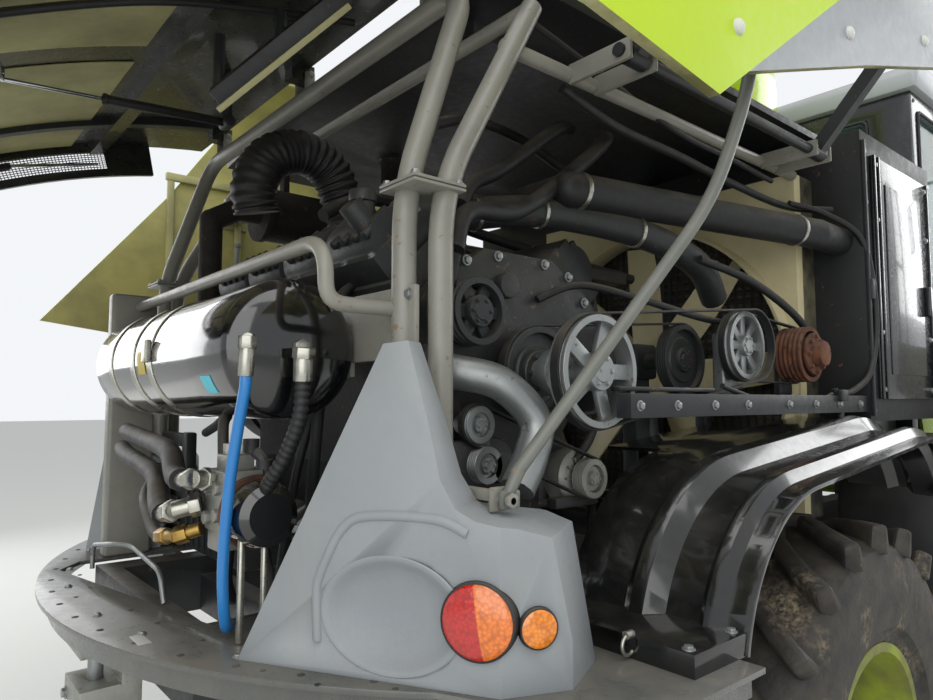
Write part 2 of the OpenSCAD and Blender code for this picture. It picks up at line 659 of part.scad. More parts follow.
// Air intake housing ahead of the radiator, with side grilles and the fixed roof over the engine
housing_x0 = R + 700;
housing_x1 = R + 1480;
housing_y = 1090;
housing_z0 = 1520;
tunnel_y = [main_y0 - 15, main_y1 + 15];
tunnel_z = 1795;
housing_z1 = 2640;
roof_r = 6000;
roof_top = 2740;
roof_half = 930;
module roof_arc(t) {
  intersection() {
    difference() {
      translate([0, roof_top - roof_r]) circle(r = roof_r, $fn = 360);
      translate([0, roof_top - roof_r]) circle(r = roof_r - t, $fn = 360);
    }
    translate([-roof_half, 2500]) square([2 * roof_half, 400]);
  }
}
module radiator_housing() color(lime) {
  difference() {
    slab(housing_x0, housing_x1, -housing_y, housing_y, housing_z0, housing_z1);
    difference() {
      slab(housing_x0 + 40, housing_x1 - 40, -housing_y + 40, housing_y - 40, housing_z0 + 40,
        housing_z1 - 40);
      slab(housing_x0, housing_x1, tunnel_y[0] - 15, tunnel_y[1] + 15, housing_z0, tunnel_z + 15);
    }
    // Tunnel for the main belt
    slab(housing_x0 - 1, housing_x1 + 1, tunnel_y[0], tunnel_y[1], housing_z0 - 1, tunnel_z);
    slab(housing_x0 - 1, housing_x0 + 50, fan_y - radiator_half + 60, fan_y + radiator_half - 60,
      housing_z0 + 60, radiator_z1 - 60);
    both() slab(housing_x0 + 90, housing_x1 - 90, housing_y - 50, housing_y + 1, housing_z0 + 120,
      housing_z1 - 120);
  }
  both() for (z = [housing_z0 + 120 : 60 : housing_z1 - 180])
    slab(housing_x0 + 80, housing_x1 - 80, housing_y - 30, housing_y - 14, z, z + 40);
  slab(housing_x0 + 40, housing_x1, -rail_out, rail_out, 1300, housing_z0 + 1);
  both() slab(housing_x0 + 60, housing_x0 + 140, rail_in + 10, rail_out - 10, rail_top, 1301);
  both() slab(housing_x1 - 120, housing_x1 - 40, rail_in + 10, rail_out - 10, rail_top, 1301);
  difference() {
    front_plate(R - 980, housing_x1) roof_arc(26);
    bar_z(stack_x, silencer_y, 2500, 2800, stack_r + 12);
  }
  both() for (x = [R - 920, housing_x0 + 1, housing_x1 - 60])
    slab(x, x + 34, 600, 660, x < R ? 2620 : housing_z1 - 1, 2700);
}

// Air pipes and the elbow at the right end of the engine
module air_pipes() color(black) {
  pipe([[R - 585, -560, 2225], [R - 585, -750, 2225], [R + 500, -1000, 2215], [housing_x0 - gap, -1000, 2215]], 54, turn = 90);
}

// Rear mudguards: an arch with two ribs, not round the wheel but high over it
guard_arc_x = R - 335;
guard_arc_z = 985;
guard_r = 410;
guard_slope = 5.5;
guard_len = 850;
guard_t = 10;
guard_section = [
  // distance from the centre line, height over the outer edge
  [1350, 0], [1300, 4], [1282, 30], [1262, 34], [1240, 12], [1160, 20], [1128, 62], [1096, 70],
  [1064, 42], [1000, 60], [912, 64]
];
function guard_band(t) = concat(
  [for (p = guard_section) [p[0], guard_r + p[1]]],
  [for (i = [len(guard_section) - 1 : -1 : 0]) [guard_section[i][0], guard_r + guard_section[i][1] - t]]
);
// One arc of the mudguard about [cx, cz], from angle a0 to a1 above the forward level
module guard_arc(cx, cz, a0, a1) {
  translate([cx, 0, cz]) rotate([90, 0, 0]) rotate([0, 0, a0]) rotate_extrude(angle = a1 - a0)
    polygon([for (p = guard_band(guard_t)) [p[1], p[0]]]);
}
guard_foot_x = R - 925;
module mudguards() color(black) both() {
  top = 90 + guard_slope;
  dx = guard_len * cos(guard_slope);
  dz = guard_len * sin(guard_slope);
  low = 180 - asin((deck_top - guard_arc_z) / guard_r);
  guard_arc(guard_arc_x, guard_arc_z, top, low);
  translate([guard_arc_x, 0, guard_arc_z]) rotate([0, -guard_slope, 0]) front_plate(0, guard_len)
    polygon([for (p = guard_band(guard_t)) [-p[0], p[1]]]);
  guard_arc(guard_arc_x + dx, guard_arc_z + dz, 25, top);
  slab(guard_foot_x, R - 725, -1345, -915, deck_top, deck_top + 46);
  // Inner sheet between the mudguard and the engine bay
  translate([guard_arc_x, 0, guard_arc_z]) rotate([0, -guard_slope, 0])
    slab(0, guard_len - 80, -915, -715, guard_r + 54, guard_r + 64);
  // Bent stays down to the frame, under the main belt
  for (x = [R - 230, R + 260]) {
    slab(x, x + 40, -540, -rail_out - gap, rail_top - 60, rail_top - 20);
    slab(x, x + 40, -540, -500, rail_top - 60, 1294);
    slab(x, x + 40, -760, -500, 1264, 1294);
    slab(x, x + 40, -760, -720, 1264, guard_arc_z + guard_r + 60 + (x - guard_arc_x) * tan(guard_slope));
  }
}

// Rear axle: beam on a lengthwise pin, with a forked end for each knuckle
pin_r = 34;
fork_gap = 150;
fork_z0 = rear_tyre_r - fork_gap / 2;
fork_z1 = rear_tyre_r + fork_gap / 2;
steer_arm = 260;
rear_spigot_r = 38;
rear_hub_in = 30;
eye_r = 12;
module rear_axle() color(dark) {
  difference() {
    union() {
      slab(R - 85, R + 85, -560, 560, axle_beam_z0, axle_beam_z1);
      bar_x(0, axle_pin_z, R - 109, R + 109, 74);
    }
    bar_x(0, axle_pin_z, R - 200, R + 200, fork_pin_r + gap);
  }
  both() {
    slab(R - 60, R + 60, -700, -555, fork_z0 - 34, fork_z1 + 34);
    difference() {
      union() for (z = [fork_z0 - 34, fork_z1]) {
        slab(R - 60, R + 60, -king_pin_y, -690, z, z + 34);
        bar_z(R, -king_pin_y, z, z + 34, 60);
      }
      slab(R - 100, R + 100, -king_pin_y - 90, -king_pin_y + 74, fork_z0, fork_z1);
    }
    bar_z(R, -king_pin_y, fork_z0 - 40, fork_z1 + 40, pin_r);
  }
}

// Steering knuckle, right hand: boss on the king pin, stub axle and steering arm
module knuckle() {
  difference() {
    union() {
      bar_z(R, -king_pin_y, fork_z0 + gap, fork_z1 - gap, 58);
      bar_y(R, rear_tyre_r, -rear_wheel_y + rear_hub_in + gap, -king_pin_y - 30, 52);
      translate([0, 0, rear_tyre_r - 14]) linear_extrude(height = 28)
        polygon([[R, -king_pin_y - 36], [R + steer_arm, -king_pin_y - 28],
          [R + steer_arm, -king_pin_y + 28], [R, -king_pin_y + 36]]);
      bar_z(R + steer_arm, -king_pin_y, rear_tyre_r - 14, rear_tyre_r + 14, 28);
    }
    bar_z(R, -king_pin_y, fork_z0 - 10, fork_z1 + 10, pin_r + gap);
    bar_z(R + steer_arm, -king_pin_y, rear_tyre_r - 40, rear_tyre_r + 40, eye_r + gap);
  }
  bar_y(R, rear_tyre_r, -rear_wheel_y - 55, -rear_wheel_y + rear_hub_in + 1, rear_spigot_r);
}
module knuckle_right() color(cast) knuckle();
module knuckle_left() color(cast) mirror([0, 1, 0]) knuckle();

// Tie rod under the steering arms, its pins up through their eyes
module tie_rod() color(dark) {
  y = king_pin_y;
  z = rear_tyre_r - 14 - gap;
  rod([R + steer_arm, -y, z - 22], [R + steer_arm, y, z - 22], 20);
  for (s = [-1, 1]) {
    bar_z(R + steer_arm, s * y, z - 44, z, 30);
    bar_z(R + steer_arm, s * y, z - 1, rear_tyre_r + 24, eye_r);
  }
}

// Front axle: beam under the rails with final drives
front_hub_y = 800;
front_spigot_r = 60;
front_hub_in = 90;
module front_axle() color(dark) {
  slab(F - 130, F + 130, -640, 640, 690, rail_bottom);
  bar_x(0, 785, F - 260, F + 130, 150);
  both() {
    bar_y(F, front_tyre_r, -front_hub_y, -600, 200);
    bar_y(F, front_tyre_r, -front_wheel_y + front_hub_in + gap, -front_hub_y + 1, 100);
    bar_y(F, front_tyre_r, -front_wheel_y - 20, -front_wheel_y + front_hub_in + 1, front_spigot_r);
    slab(F - 130, F + 130, -700, -600, 690, front_tyre_r);
    for (s = [-1, 1])
      slab(F + 129, cyl_a[0] + 34, -cyl_y + s * 38 - 8, -cyl_y + s * 38 + 8, cyl_a[1] - 30, cyl_a[1] + 50);
    bar_y(cyl_a[0], cyl_a[1], -cyl_y - 44, -cyl_y + 44, cyl_pin_r);
  }
}

// Wheel rim seen from outside at y = 0 facing -Y; w is the tyre width, hub is the bore it runs on
module rim(r, w, hub_r, hub_len, dish) {
  rotate([90, 0, 0]) {
    rotate_extrude($fn = 96) polygon([
      [r - 26, -w / 2 + 30], [r - gap, -w / 2 + 30], [r - gap, w / 2 - 30], [r - 26, w / 2 - 30]
    ]);
    difference() {
      rotate_extrude($fn = 96) polygon([
        [hub_r + gap, dish - hub_len], [hub_r + 60, dish - hub_len], [hub_r + 70, dish - 16],
        [r - 60, dish - 70], [r - 24, dish - 40], [r - 24, dish - 20], [r - 70, dish - 40],
        [hub_r + 80, dish], [hub_r + gap, dish]
      ]);
      for (i = [0 : 7]) rotate([0, 0, i * 45]) translate([hub_r + (r - hub_r) * 0.66, 0, dish - 100])
        cylinder(h = 200, r = (r - hub_r) * 0.1);
    }
    for (i = [0 : 9]) rotate([0, 0, i * 36]) translate([hub_r + 42, 0, dish - 1])
      cylinder(h = 22, r = 13, $fn = 6);
  }
}
module rear_rim() {
  translate([R, 0, rear_tyre_r]) rim(rear_rim_r, rear_tyre_w, rear_spigot_r, rear_hub_in + 40, 40);
}
module rear_rim_right() color(lime) translate([0, -rear_wheel_y, 0]) rear_rim();
module rear_rim_left() color(lime) mirror([0, 1, 0]) translate([0, -rear_wheel_y, 0]) rear_rim();
module front_rim() {
  translate([F, 0, front_tyre_r]) rim(front_rim_r, front_tyre_w, front_spigot_r, front_hub_in, 0);
}
module front_rim_right() color(lime) translate([0, -front_wheel_y, 0]) front_rim();
module front_rim_left() color(lime) mirror([0, 1, 0]) translate([0, -front_wheel_y, 0]) front_rim();

// Tyre with slanting lugs, trimmed to the outer radius
module tyre(r, rim_r, w, lug_h, lugs) {
  carcass = r - lug_h;
  shoulder = 60;
  rotate([90, 0, 0]) {
    rotate_extrude($fn = 96) polygon([
      [rim_r, -w / 2 + 32], [rim_r + 40, -w / 2 + 8], [(rim_r + carcass) / 2, -w / 2],
      [carcass - shoulder, -w / 2 + 4], [carcass, -w / 2 + 60], [carcass + 6, 0],
      [carcass, w / 2 - 60], [carcass - shoulder, w / 2 - 4], [(rim_r + carcass) / 2, w / 2],
      [rim_r + 40, w / 2 - 8], [rim_r, w / 2 - 32]
    ]);
    intersection() {
      for (i = [0 : lugs - 1]) for (s = [-1, 1])
        rotate([0, 0, (i + (s > 0 ? 0 : 0.5)) * 360 / lugs]) translate([carcass - 30, 0, s * w * 0.235])
          rotate([s * 42, 0, 0]) translate([0, -lug_h * 0.42, -w * 0.33]) cube([lug_h + 50, lug_h * 0.84, w * 0.66]);
      translate([0, 0, -w / 2]) difference() {
        cylinder(h = w, r = r, $fn = 96);
        translate([0, 0, -1]) cylinder(h = w + 2, r = carcass - 20, $fn = 96);
      }
    }
  }
}
rear_lugs = 20;
front_lugs = 22;
lug_h = 40;
module rear_tyre() {
  translate([R, 0, rear_tyre_r]) tyre(rear_tyre_r, rear_rim_r, rear_tyre_w, lug_h, rear_lugs);
}
module rear_tyre_right() color(black) translate([0, -rear_wheel_y, 0]) rear_tyre();
module rear_tyre_left() color(black) mirror([0, 1, 0]) translate([0, -rear_wheel_y, 0]) rear_tyre();
module front_tyre() {
  translate([F, 0, front_tyre_r]) tyre(front_tyre_r, front_rim_r, front_tyre_w, lug_h, front_lugs);
}
module front_tyre_right() color(black) translate([0, -front_wheel_y, 0]) front_tyre();
module front_tyre_left() color(black) mirror([0, 1, 0]) translate([0, -front_wheel_y, 0]) front_tyre();

// Tailgate: a shell bent to an arc, drawn from its hinge, with side flanges and a window in each
tail_bend = 34;
tail_start = 6;
tail_arc_r = tailgate_len * 180 / (PI * tail_bend);
tail_flange = 150;
module tail_band(r0, r1, y0, y1, a0, a1) {
  // The arc starts over the hinge, heading rearwards and tail_start degrees down
  translate([hinge_x, 0, hinge_z + 50]) rotate([0, -tail_start, 0]) translate([0, 0, -tail_arc_r])
    rotate([90, 0, 0]) rotate([0, 0, 90 + a0]) rotate_extrude(angle = a1 - a0, $fn = 360)
      polygon([[r0, -y1], [r1, -y1], [r1, -y0], [r0, -y0]]);
}
module tailgate() color(lime) {
  w = tailgate_half_w;
  tail_band(tail_arc_r - tailgate_t, tail_arc_r, -w, w, 0, tail_bend);
  for (s = [-1, 1]) difference() {
    tail_band(tail_arc_r - tail_flange, tail_arc_r - 1, s > 0 ? w - 22 : -w, s > 0 ? w : -w + 22, 5, tail_bend);
    tail_band(tail_arc_r - tail_flange + 30, tail_arc_r - 50, s > 0 ? w - 40 : -w - 20,
      s > 0 ? w + 20 : -w + 40, 9, 26);
  }
  tail_band(tail_arc_r - tail_flange + 6, tail_arc_r - 1, -w, w, tail_bend - 0.9, tail_bend);
  for (a = [9, 21]) tail_band(tail_arc_r - 60, tail_arc_r - 20, -w + 20, w - 20, a, a + 1.2);
  for (y = hinge_lug_y) difference() {
    slab(hinge_x - 60, hinge_x + 22, y - 26, y + 26, hinge_z - 20, hinge_z + 36);
    bar_y(hinge_x, hinge_z, y - 50, y + 50, hinge_pin_r + gap);
  }
}

// Panel arms: a torsion tube at the roof rail with two arms, drawn level and turned up by deg
module panel_arms(deg) {
  translate([0, -arm_pivot_y, roof_tube_z]) rotate([-deg, 0, 0]) {
    bar_x(0, 0, arm_x[0] - arm_lug - 24, arm_x[1] + arm_lug + 24, arm_tube_r);
    for (x = arm_x) {
      bar_x(0, 0, x - 36, x + 36, 26);
      slab(x - 20, x + 20, -arm_len, 0, -22, 22);
      bar_x(-arm_len, 0, x - 34, x + 34, 22);
      bar_x(-arm_len, 0, x - 60, x + 60, arm_pin_r);
    }
  }
}
module panel_arms_right() color(dark) panel_arms(arm_right_deg);
module panel_arms_left() color(dark) mirror([0, 1, 0]) panel_arms(arm_left_deg);

// Side panel in its closed place, right hand: a bent section cut to the side view's outline
panel_bend_z = 2330;
panel_bend_r = 400;
panel_top_y = 960;
panel_front_x = R + 640;
arm_end_z = roof_tube_z - arm_len * sin(arm_closed_deg);
module panel_section(y, r) {
  translate([-y, 1200]) square([y - 800, panel_bend_z - 1200]);
  translate([r - y, panel_bend_z]) circle(r = r, $fn = 96);
  translate([r - y, panel_bend_z - 1]) square([y - r - 800, r + 1]);
}
module panel_shape() {
  intersection() {
    front_plate(R - 1600, panel_front_x) difference() {
      panel_section(panel_y, panel_bend_r);
      panel_section(panel_y - panel_t, panel_bend_r - panel_t);
      translate([-panel_top_y, 1100]) square([400, 1700]);
    }
    side_plate(-panel_y - 10, -900) polygon([
      [R - 1580, 1470], [R - 1000, 1394], [R - 889, 1472], [R - 626, 1562], [R - 285, 1678],
      [R + 297, 1857], [panel_front_x, 1890], [panel_front_x, 2800], [R - 600, 2800], [R - 1020, 2170]
    ]);
  }
  for (x = arm_x) for (s = [-1, 1]) difference() {
    translate([s > 0 ? x + 40 : x - 54, -panel_y + panel_t - 1, arm_end_z - 28]) cube([14, 78, 56]);
    bar_x(-panel_y + panel_t + 48, arm_end_z, x - 70, x + 70, arm_pin_r + gap);
  }
}
function panel_lift(deg) = arm_len * (sin(deg) + sin(arm_closed_deg));
function panel_out(deg) = arm_len * (cos(deg) - cos(arm_closed_deg));
module side_panel(deg) {
  translate([0, -panel_out(deg), panel_lift(deg)]) panel_shape();
}
module side_panel_right() color(lime) side_panel(arm_right_deg);
module side_panel_left() color(lime) mirror([0, 1, 0]) side_panel(arm_left_deg);

// Stay of a raised panel: a bent rod that folds forward about its foot
stay_r = 14;
stay_bend = [[R - 825, -1350, 2017], [R - 748, -1395, 2261], [R - 735, -1405, 2400]];
module panel_stay() {
  difference() {
    union() {
      bar_y(stay_foot[0], stay_foot[2], stay_foot[1] - 13, stay_foot[1] + 13, 21);
      pipe(concat([stay_foot, stay_foot + [36, 0, 61]], stay_bend), stay_r);
    }
    bar_y(stay_foot[0], stay_foot[2], stay_foot[1] - 40, stay_foot[1] + 40, stay_pin_r + gap);
  }
  translate(stay_bend[2]) sphere(r = stay_r + 6);
}
module panel_stay_right() color(grey) panel_stay();
module panel_stay_left() color(grey) mirror([0, 1, 0]) panel_stay();

// Cab: a shell cut by its windows, leaning out to the knee of the windscreen
screen_low_z = 2130;
screen_high_z = 3240;
knee = [F + 890, 2100];
foot_x = F + 760;
brow_x = F + 800;
function screen_x(z) = knee[0] + (brow_x - knee[0]) * (z - knee[1]) / (cab_top_z - knee[1]);
door_x0 = F - 90;
door_x1 = F + 660;
door_z0 = cab_floor_z + 70;
door_z1 = 3250;
door_gap = 6;
quarter = [cab_rear_x + 90, door_x0 - 90, 2350, 3230];
right_window = [cab_rear_x + 90, F + 640, 2250, 3230];
rear_window = [600, 2500, 3220];
module cab_shell() color(black) difference() {
  side_plate(-cab_half_w, cab_half_w) polygon([
    [cab_rear_x, cab_floor_z], [foot_x, cab_floor_z], knee, [brow_x, cab_top_z], [cab_rear_x, cab_top_z]
  ]);
  side_plate(-cab_half_w + cab_wall, cab_half_w - cab_wall) polygon([
    [cab_rear_x + cab_wall, cab_floor_z + cab_wall], [foot_x - cab_wall * 0.6, cab_floor_z + cab_wall],
    [knee[0] - cab_wall * 1.1, knee[1] + 6], [brow_x - cab_wall, cab_top_z + 1],
    [cab_rear_x + cab_wall, cab_top_z + 1]
  ]);
  slab(brow_x - 260, knee[0] + 50, -cab_half_w + 70, cab_half_w - 70, screen_low_z, screen_high_z);
  slab(right_window[0], right_window[1], -cab_half_w - 1, -cab_half_w + cab_wall + 1, right_window[2],
    right_window[3]);
  slab(quarter[0], quarter[1], cab_half_w - cab_wall - 1, cab_half_w + 1, quarter[2], quarter[3]);
  slab(door_x0, door_x1, cab_half_w - cab_wall - 1, cab_half_w + 1, door_z0, door_z1);
  slab(cab_rear_x - 1, cab_rear_x + cab_wall + 1, -rear_window[0], rear_window[0], rear_window[1],
    rear_window[2]);
}

// Fixed window glass, each pane in its own opening
glass_t = 8;
module pane_y(w, y) {
  slab(w[0] + gap, w[1] - gap, y - glass_t / 2, y + glass_t / 2, w[2] + gap, w[3] - gap);
}
module cab_glass() color("#9fb4b8") {
  side_plate(-cab_half_w + 70 + gap, cab_half_w - 70 - gap) polygon([
    [screen_x(screen_low_z) - 30, screen_low_z + gap], [screen_x(screen_low_z) - 22, screen_low_z + gap],
    [screen_x(screen_high_z) - 22, screen_high_z - gap], [screen_x(screen_high_z) - 30, screen_high_z - gap]
  ]);
  pane_y(right_window, -cab_half_w + 24);
  pane_y(quarter, cab_half_w - 24);
  slab(cab_rear_x + 20, cab_rear_x + 20 + glass_t, -rear_window[0] + gap, rear_window[0] - gap,
    rear_window[1] + gap, rear_window[2] - gap);
}

// Cab door, hinged at its rear edge
door_t = 40;
door_frame = 60;
door_hinge_x = door_x0 - 14;
door_hinge_y = cab_half_w + 14;
module cab_door() color(black) {
  difference() {
    slab(door_x0 + door_gap, door_x1 - door_gap, cab_half_w - door_t, cab_half_w, door_z0 + door_gap,
      door_z1 - door_gap);
    slab(door_x0 + door_frame, door_x1 - door_frame, cab_half_w - door_t - 1, cab_half_w + 1,
      door_z0 + door_frame + 60, door_z1 - door_frame);
  }
  for (z = [door_z0 + 200, door_z1 - 200]) difference() {
    union() {
      slab(door_hinge_x, door_x0 + 60, door_hinge_y - 6, door_hinge_y + 6, z - 20, z + 20);
      slab(door_x0 + 30, door_x0 + 60, cab_half_w - 1, door_hinge_y + 6, z - 20, z + 20);
      bar_z(door_hinge_x, door_hinge_y, z - 20, z + 20, 13);
    }
    bar_z(door_hinge_x, door_hinge_y, z - 40, z + 40, 7 + gap);
  }
  slab(door_x1 - 90, door_x1 - 60, cab_half_w - 1, cab_half_w + 26, 2350, 2380);
  slab(door_x1 - 90, door_x1 - 60, cab_half_w - 1, cab_half_w + 26, 2650, 2680);
  slab(door_x1 - 90, door_x1 - 60, cab_half_w + 14, cab_half_w + 30, 2350, 2680);
}
module door_glass() color("#9fb4b8") pane_y(
  [door_x0 + door_frame, door_x1 - door_frame, door_z0 + door_frame + 60, door_z1 - door_frame],
  cab_half_w - door_t / 2);

// Cab roof with a rounded brow
roof_h = 175;
module cab_roof() color("#c9cccb") {
  side_plate(-cab_half_w - 40, cab_half_w + 40) {
    polygon([[cab_rear_x - 40, cab_top_z], [F + 900, cab_top_z], [F + 1000, cab_top_z + 40],
      [F + 980, cab_top_z + 90], [F + 800, cab_top_z + roof_h], [cab_rear_x + 60, cab_top_z + roof_h],
      [cab_rear_x - 40, cab_top_z + roof_h - 70]]);
  }
}

// Work lights under the brow, mirrors on their arms and door hinge pins
mirror_y = 1650;
module cab_fittings() color(black) {
  both() {
    for (y = [300, 600]) slab(F + 830, F + 890, y - 75, y + 75, cab_top_z - 95, cab_top_z);
    pipe([[F + 870, -cab_half_w - 20, cab_top_z - gap], [F + 870, -cab_half_w - 20, cab_top_z - 60],
      [F + 960, -1380, cab_top_z - 110], [F + 960, -mirror_y + 110, cab_top_z - 110]], 14);
    slab(F + 930, F + 985, -mirror_y, -mirror_y + 240, cab_top_z - 560, cab_top_z - 110);
  }
  for (z = [door_z0 + 200, door_z1 - 200]) {
    bar_z(door_hinge_x, door_hinge_y, z - 40, z + 40, 7);
    for (s = [-1, 1]) slab(door_hinge_x - 40, door_hinge_x + 10, cab_half_w, door_hinge_y + 10,
      z + s * 31 - 9, z + s * 31 + 9);
  }
}

// Driver's place: seat on its pedestal, steering column and wheel, side console
module operator_station() color(dark) {
  floor_z = cab_floor_z + cab_wall;
  slab(F - 330, F + 60, -180, 180, floor_z, floor_z + 260);
  slab(F - 380, F + 130, -250, 250, floor_z + 259, floor_z + 380);
  translate([F - 370, 0, floor_z + 370]) rotate([0, -12, 0]) slab(-60, 60, -240, 240, 0, 620);
  translate([F - 490, 0, floor_z + 960]) rotate([0, -12, 0]) slab(-45, 45, -150, 150, 0, 170);
  slab(F - 260, F + 330, -450, -270, floor_z + 259, floor_z + 520);
  slab(F - 200, F - 60, -420, -170, floor_z, floor_z + 270);
  slab(F + 420, F + 520, -60, 60, floor_z, floor_z + 120);
  rod([F + 460, 0, floor_z + 60], [F + 330, 0, floor_z + 640], 32);
  translate([F + 330, 0, floor_z + 640]) rotate([0, -24, 0]) {
    rotate_extrude() translate([180, 0]) circle(r = 15, $fn = 24);
    for (a = [0, 120, 240]) rotate([0, 0, a]) slab(0, 180, -14, 14, -8, 8);
    cylinder(h = 30, r = 50, center = true);
  }
}

// Platforms beside the cab with rails and a ladder on the left
platform_z = 1800;
module access_platform() color(grey) {
  both() {
    slab(F - 1330, F + 420, -1470, -cab_half_w - 2, platform_z, platform_z + 34);
    for (x = [cab_rear_x - 40, F + 220]) {
      slab(x, x + 60, -cab_half_w - 3, -rail_out - gap, cab_floor_z - 119, cab_floor_z - 70);
      slab(x, x + 60, -cab_half_w - 12, -cab_half_w - 2, cab_floor_z - 119, platform_z + 1);
    }
    pipe([[F - 1300, -1440, platform_z + 20], [F - 1300, -1440, 2780], [F - 1000, -1440, 2800],
      [F - 950, -1440, platform_z + 20]], 17);
    rod([F - 1300, -1440, 2300], [F - 975, -1440, 2300], 14);
    slab(F - 1330, F - 1290, -1470, -900, platform_z - 260, platform_z + 1);
  }
  for (x = [F - 1300, F - 960]) slab(x, x + 30, 1390, 1460, 620, platform_z + 1);
  for (i = [0 : 3]) slab(F - 1299, F - 931, 1370, 1475, 640 + i * 300, 670 + i * 300);
}

// Fuel tanks between the wheels, on the frame's outriggers
tank_top = 1440;
module fuel_tanks() color(dark) both() {
  side_plate(-1260, -830) polygon([[R + 990, outrigger_z1 + gap], [R + 1840, outrigger_z1 + gap],
    [R + 1900, 900], [R + 1900, tank_top - 60], [R + 1840, tank_top], [R + 1100, tank_top],
    [R + 1020, tank_top - 120], [R + 960, 900]]);
}

// Crop channel: drum housing, blower housing and the chute up to the turret
blower = [F - 620, 1400];
channel_y = rail_in - gap;
module crop_channel() color(grey) {
  side_plate(-channel_y, channel_y) {
    translate(drum) circle(r = drum_r + 20);
    translate(blower) circle(r = 270);
    polygon([[drum[0], drum[1] + 300], [blower[0], blower[1] + 250], [blower[0] - 40, blower[1] - 250],
      [drum[0] - 60, drum[1] - 300]]);
  }
  side_plate(-200, 200) polygon([[blower[0] - 265, blower[1]], [blower[0] - 100, blower[1] + 180],
    [turret_x + 230, 2200], [turret_x + 230, turret_base_z - 60], [turret_x - 230, turret_base_z - 60],
    [turret_x - 230, 2200]]);
}

// Turret: the ring that the spout turns on, on its plate between the housing and the cab
module spout_turret() color(dark) {
  difference() {
    union() {
      slab(turret_x - 330, turret_x + 260, -rail_out, rail_out, turret_base_z - 40, turret_base_z);
      bar_z(turret_x, 0, turret_base_z - 1, turret_base_z + 60, spout_bore_r + 90);
    }
    bar_z(turret_x, 0, turret_base_z - 60, turret_base_z + 70, spout_bore_r);
  }
}

// Spout base: slewing ring and a square elbow, hollow right through
duct_h = 320;
duct_wall = 8;
elbow_in = 120;
elbow_mid = elbow_in + duct_h / 2;
base_z0 = turret_base_z + 60 + gap;
elbow_z = spout_pivot_z - elbow_in;
spout_axis_z = elbow_z + elbow_mid;
module elbow(r0, r1, half, a0, a1) {
  translate([turret_x - elbow_mid, 0, elbow_z]) rotate([90, 0, 0]) rotate([0, 0, a0])
    rotate_extrude(angle = a1 - a0, $fn = 96) translate([r0, -half]) square([r1 - r0, 2 * half]);
}
module spout_base() color(lime) {
  difference() {
    union() {
      bar_z(turret_x, 0, base_z0, base_z0 + 50, spout_bore_r + 80);
      slab(turret_x - duct_h / 2, turret_x + duct_h / 2, -spout_w / 2, spout_w / 2, base_z0 + 40, elbow_z + 1);
      elbow(elbow_in, elbow_in + duct_h, spout_w / 2, 0, 90);
    }
    slab(turret_x - duct_h / 2 + duct_wall, turret_x + duct_h / 2 - duct_wall, -spout_w / 2 + duct_wall,
      spout_w / 2 - duct_wall, base_z0 - 1, elbow_z);
    elbow(elbow_in + duct_wall, elbow_in + duct_h - duct_wall, spout_w / 2 - duct_wall, 0, 91);
  }
  boom_ears(1, 150, 130, 24, false);
  bar_y(boom_pin_x, boom_pin_z, -142, 142, boom_pin_r);
}

// Spout arm: a hollow duct parked rearwards, hung from a pin over the elbow's end
arm_x0 = turret_x - elbow_mid - 12;
arm_x1 = arm_x0 - spout_len;
duct_top = spout_pivot_z + duct_h;
boom_pin_x = turret_x - elbow_mid - 6;
boom_pin_z = duct_top + 30;
boom_pin_r = 16;
boom_ear = 40;
flap_pin_x = arm_x1 + 60;
flap_pin_z = duct_top - 46;
flap_pin_r = 12;
module duct_x(x0, x1) {
  difference() {
    slab(x0, x1, -spout_w / 2, spout_w / 2, spout_pivot_z, duct_top);
    slab(x0 - 1, x1 + 1, -spout_w / 2 + duct_wall, spout_w / 2 - duct_wall, spout_pivot_z + duct_wall,
      duct_top - duct_wall);
  }
}
// A pair of ears round the pin, ear_t thick, their middles at +-ear_y, rooted on the side dir
module boom_ears(dir, reach, ear_y, ear_t, bore) {
  for (s = [-1, 1]) difference() {
    side_plate(s * ear_y - ear_t / 2, s * ear_y + ear_t / 2) translate([boom_pin_x, boom_pin_z]) {
      circle(r = boom_pin_r + 10);
      polygon([[dir * reach, duct_top - boom_pin_z - 1], [dir * 7, duct_top - boom_pin_z - 1], [0, -10],
        [0, boom_pin_r + 10], [dir * 40, boom_pin_r + 10]]);
    }
    if (bore) bar_y(boom_pin_x, boom_pin_z, -spout_w, spout_w, boom_pin_r + gap);
  }
}
module spout_boom() color(lime) {
  duct_x(arm_x1, arm_x0);
  boom_ears(-1, 130, 100, 24, true);
  // Stiffening ribs round the arm and the flap's pins
  for (i = [1 : 3]) difference() {
    slab(arm_x0 - i * spout_len / 4, arm_x0 - i * spout_len / 4 + 12, -spout_w / 2 - 14, spout_w / 2 + 14,
      spout_pivot_z - 14, duct_top + 14);
    slab(arm_x0 - i * spout_len / 4 - 1, arm_x0 - i * spout_len / 4 + 13, -spout_w / 2 + 2,
      spout_w / 2 - 2, spout_pivot_z + 2, duct_top - 2);
  }
  for (s = [-1, 1]) bar_y(flap_pin_x, flap_pin_z, s > 0 ? spout_w / 2 - 1 : -spout_w / 2 - 18,
    s > 0 ? spout_w / 2 + 18 : -spout_w / 2 + 1, flap_pin_r);
}

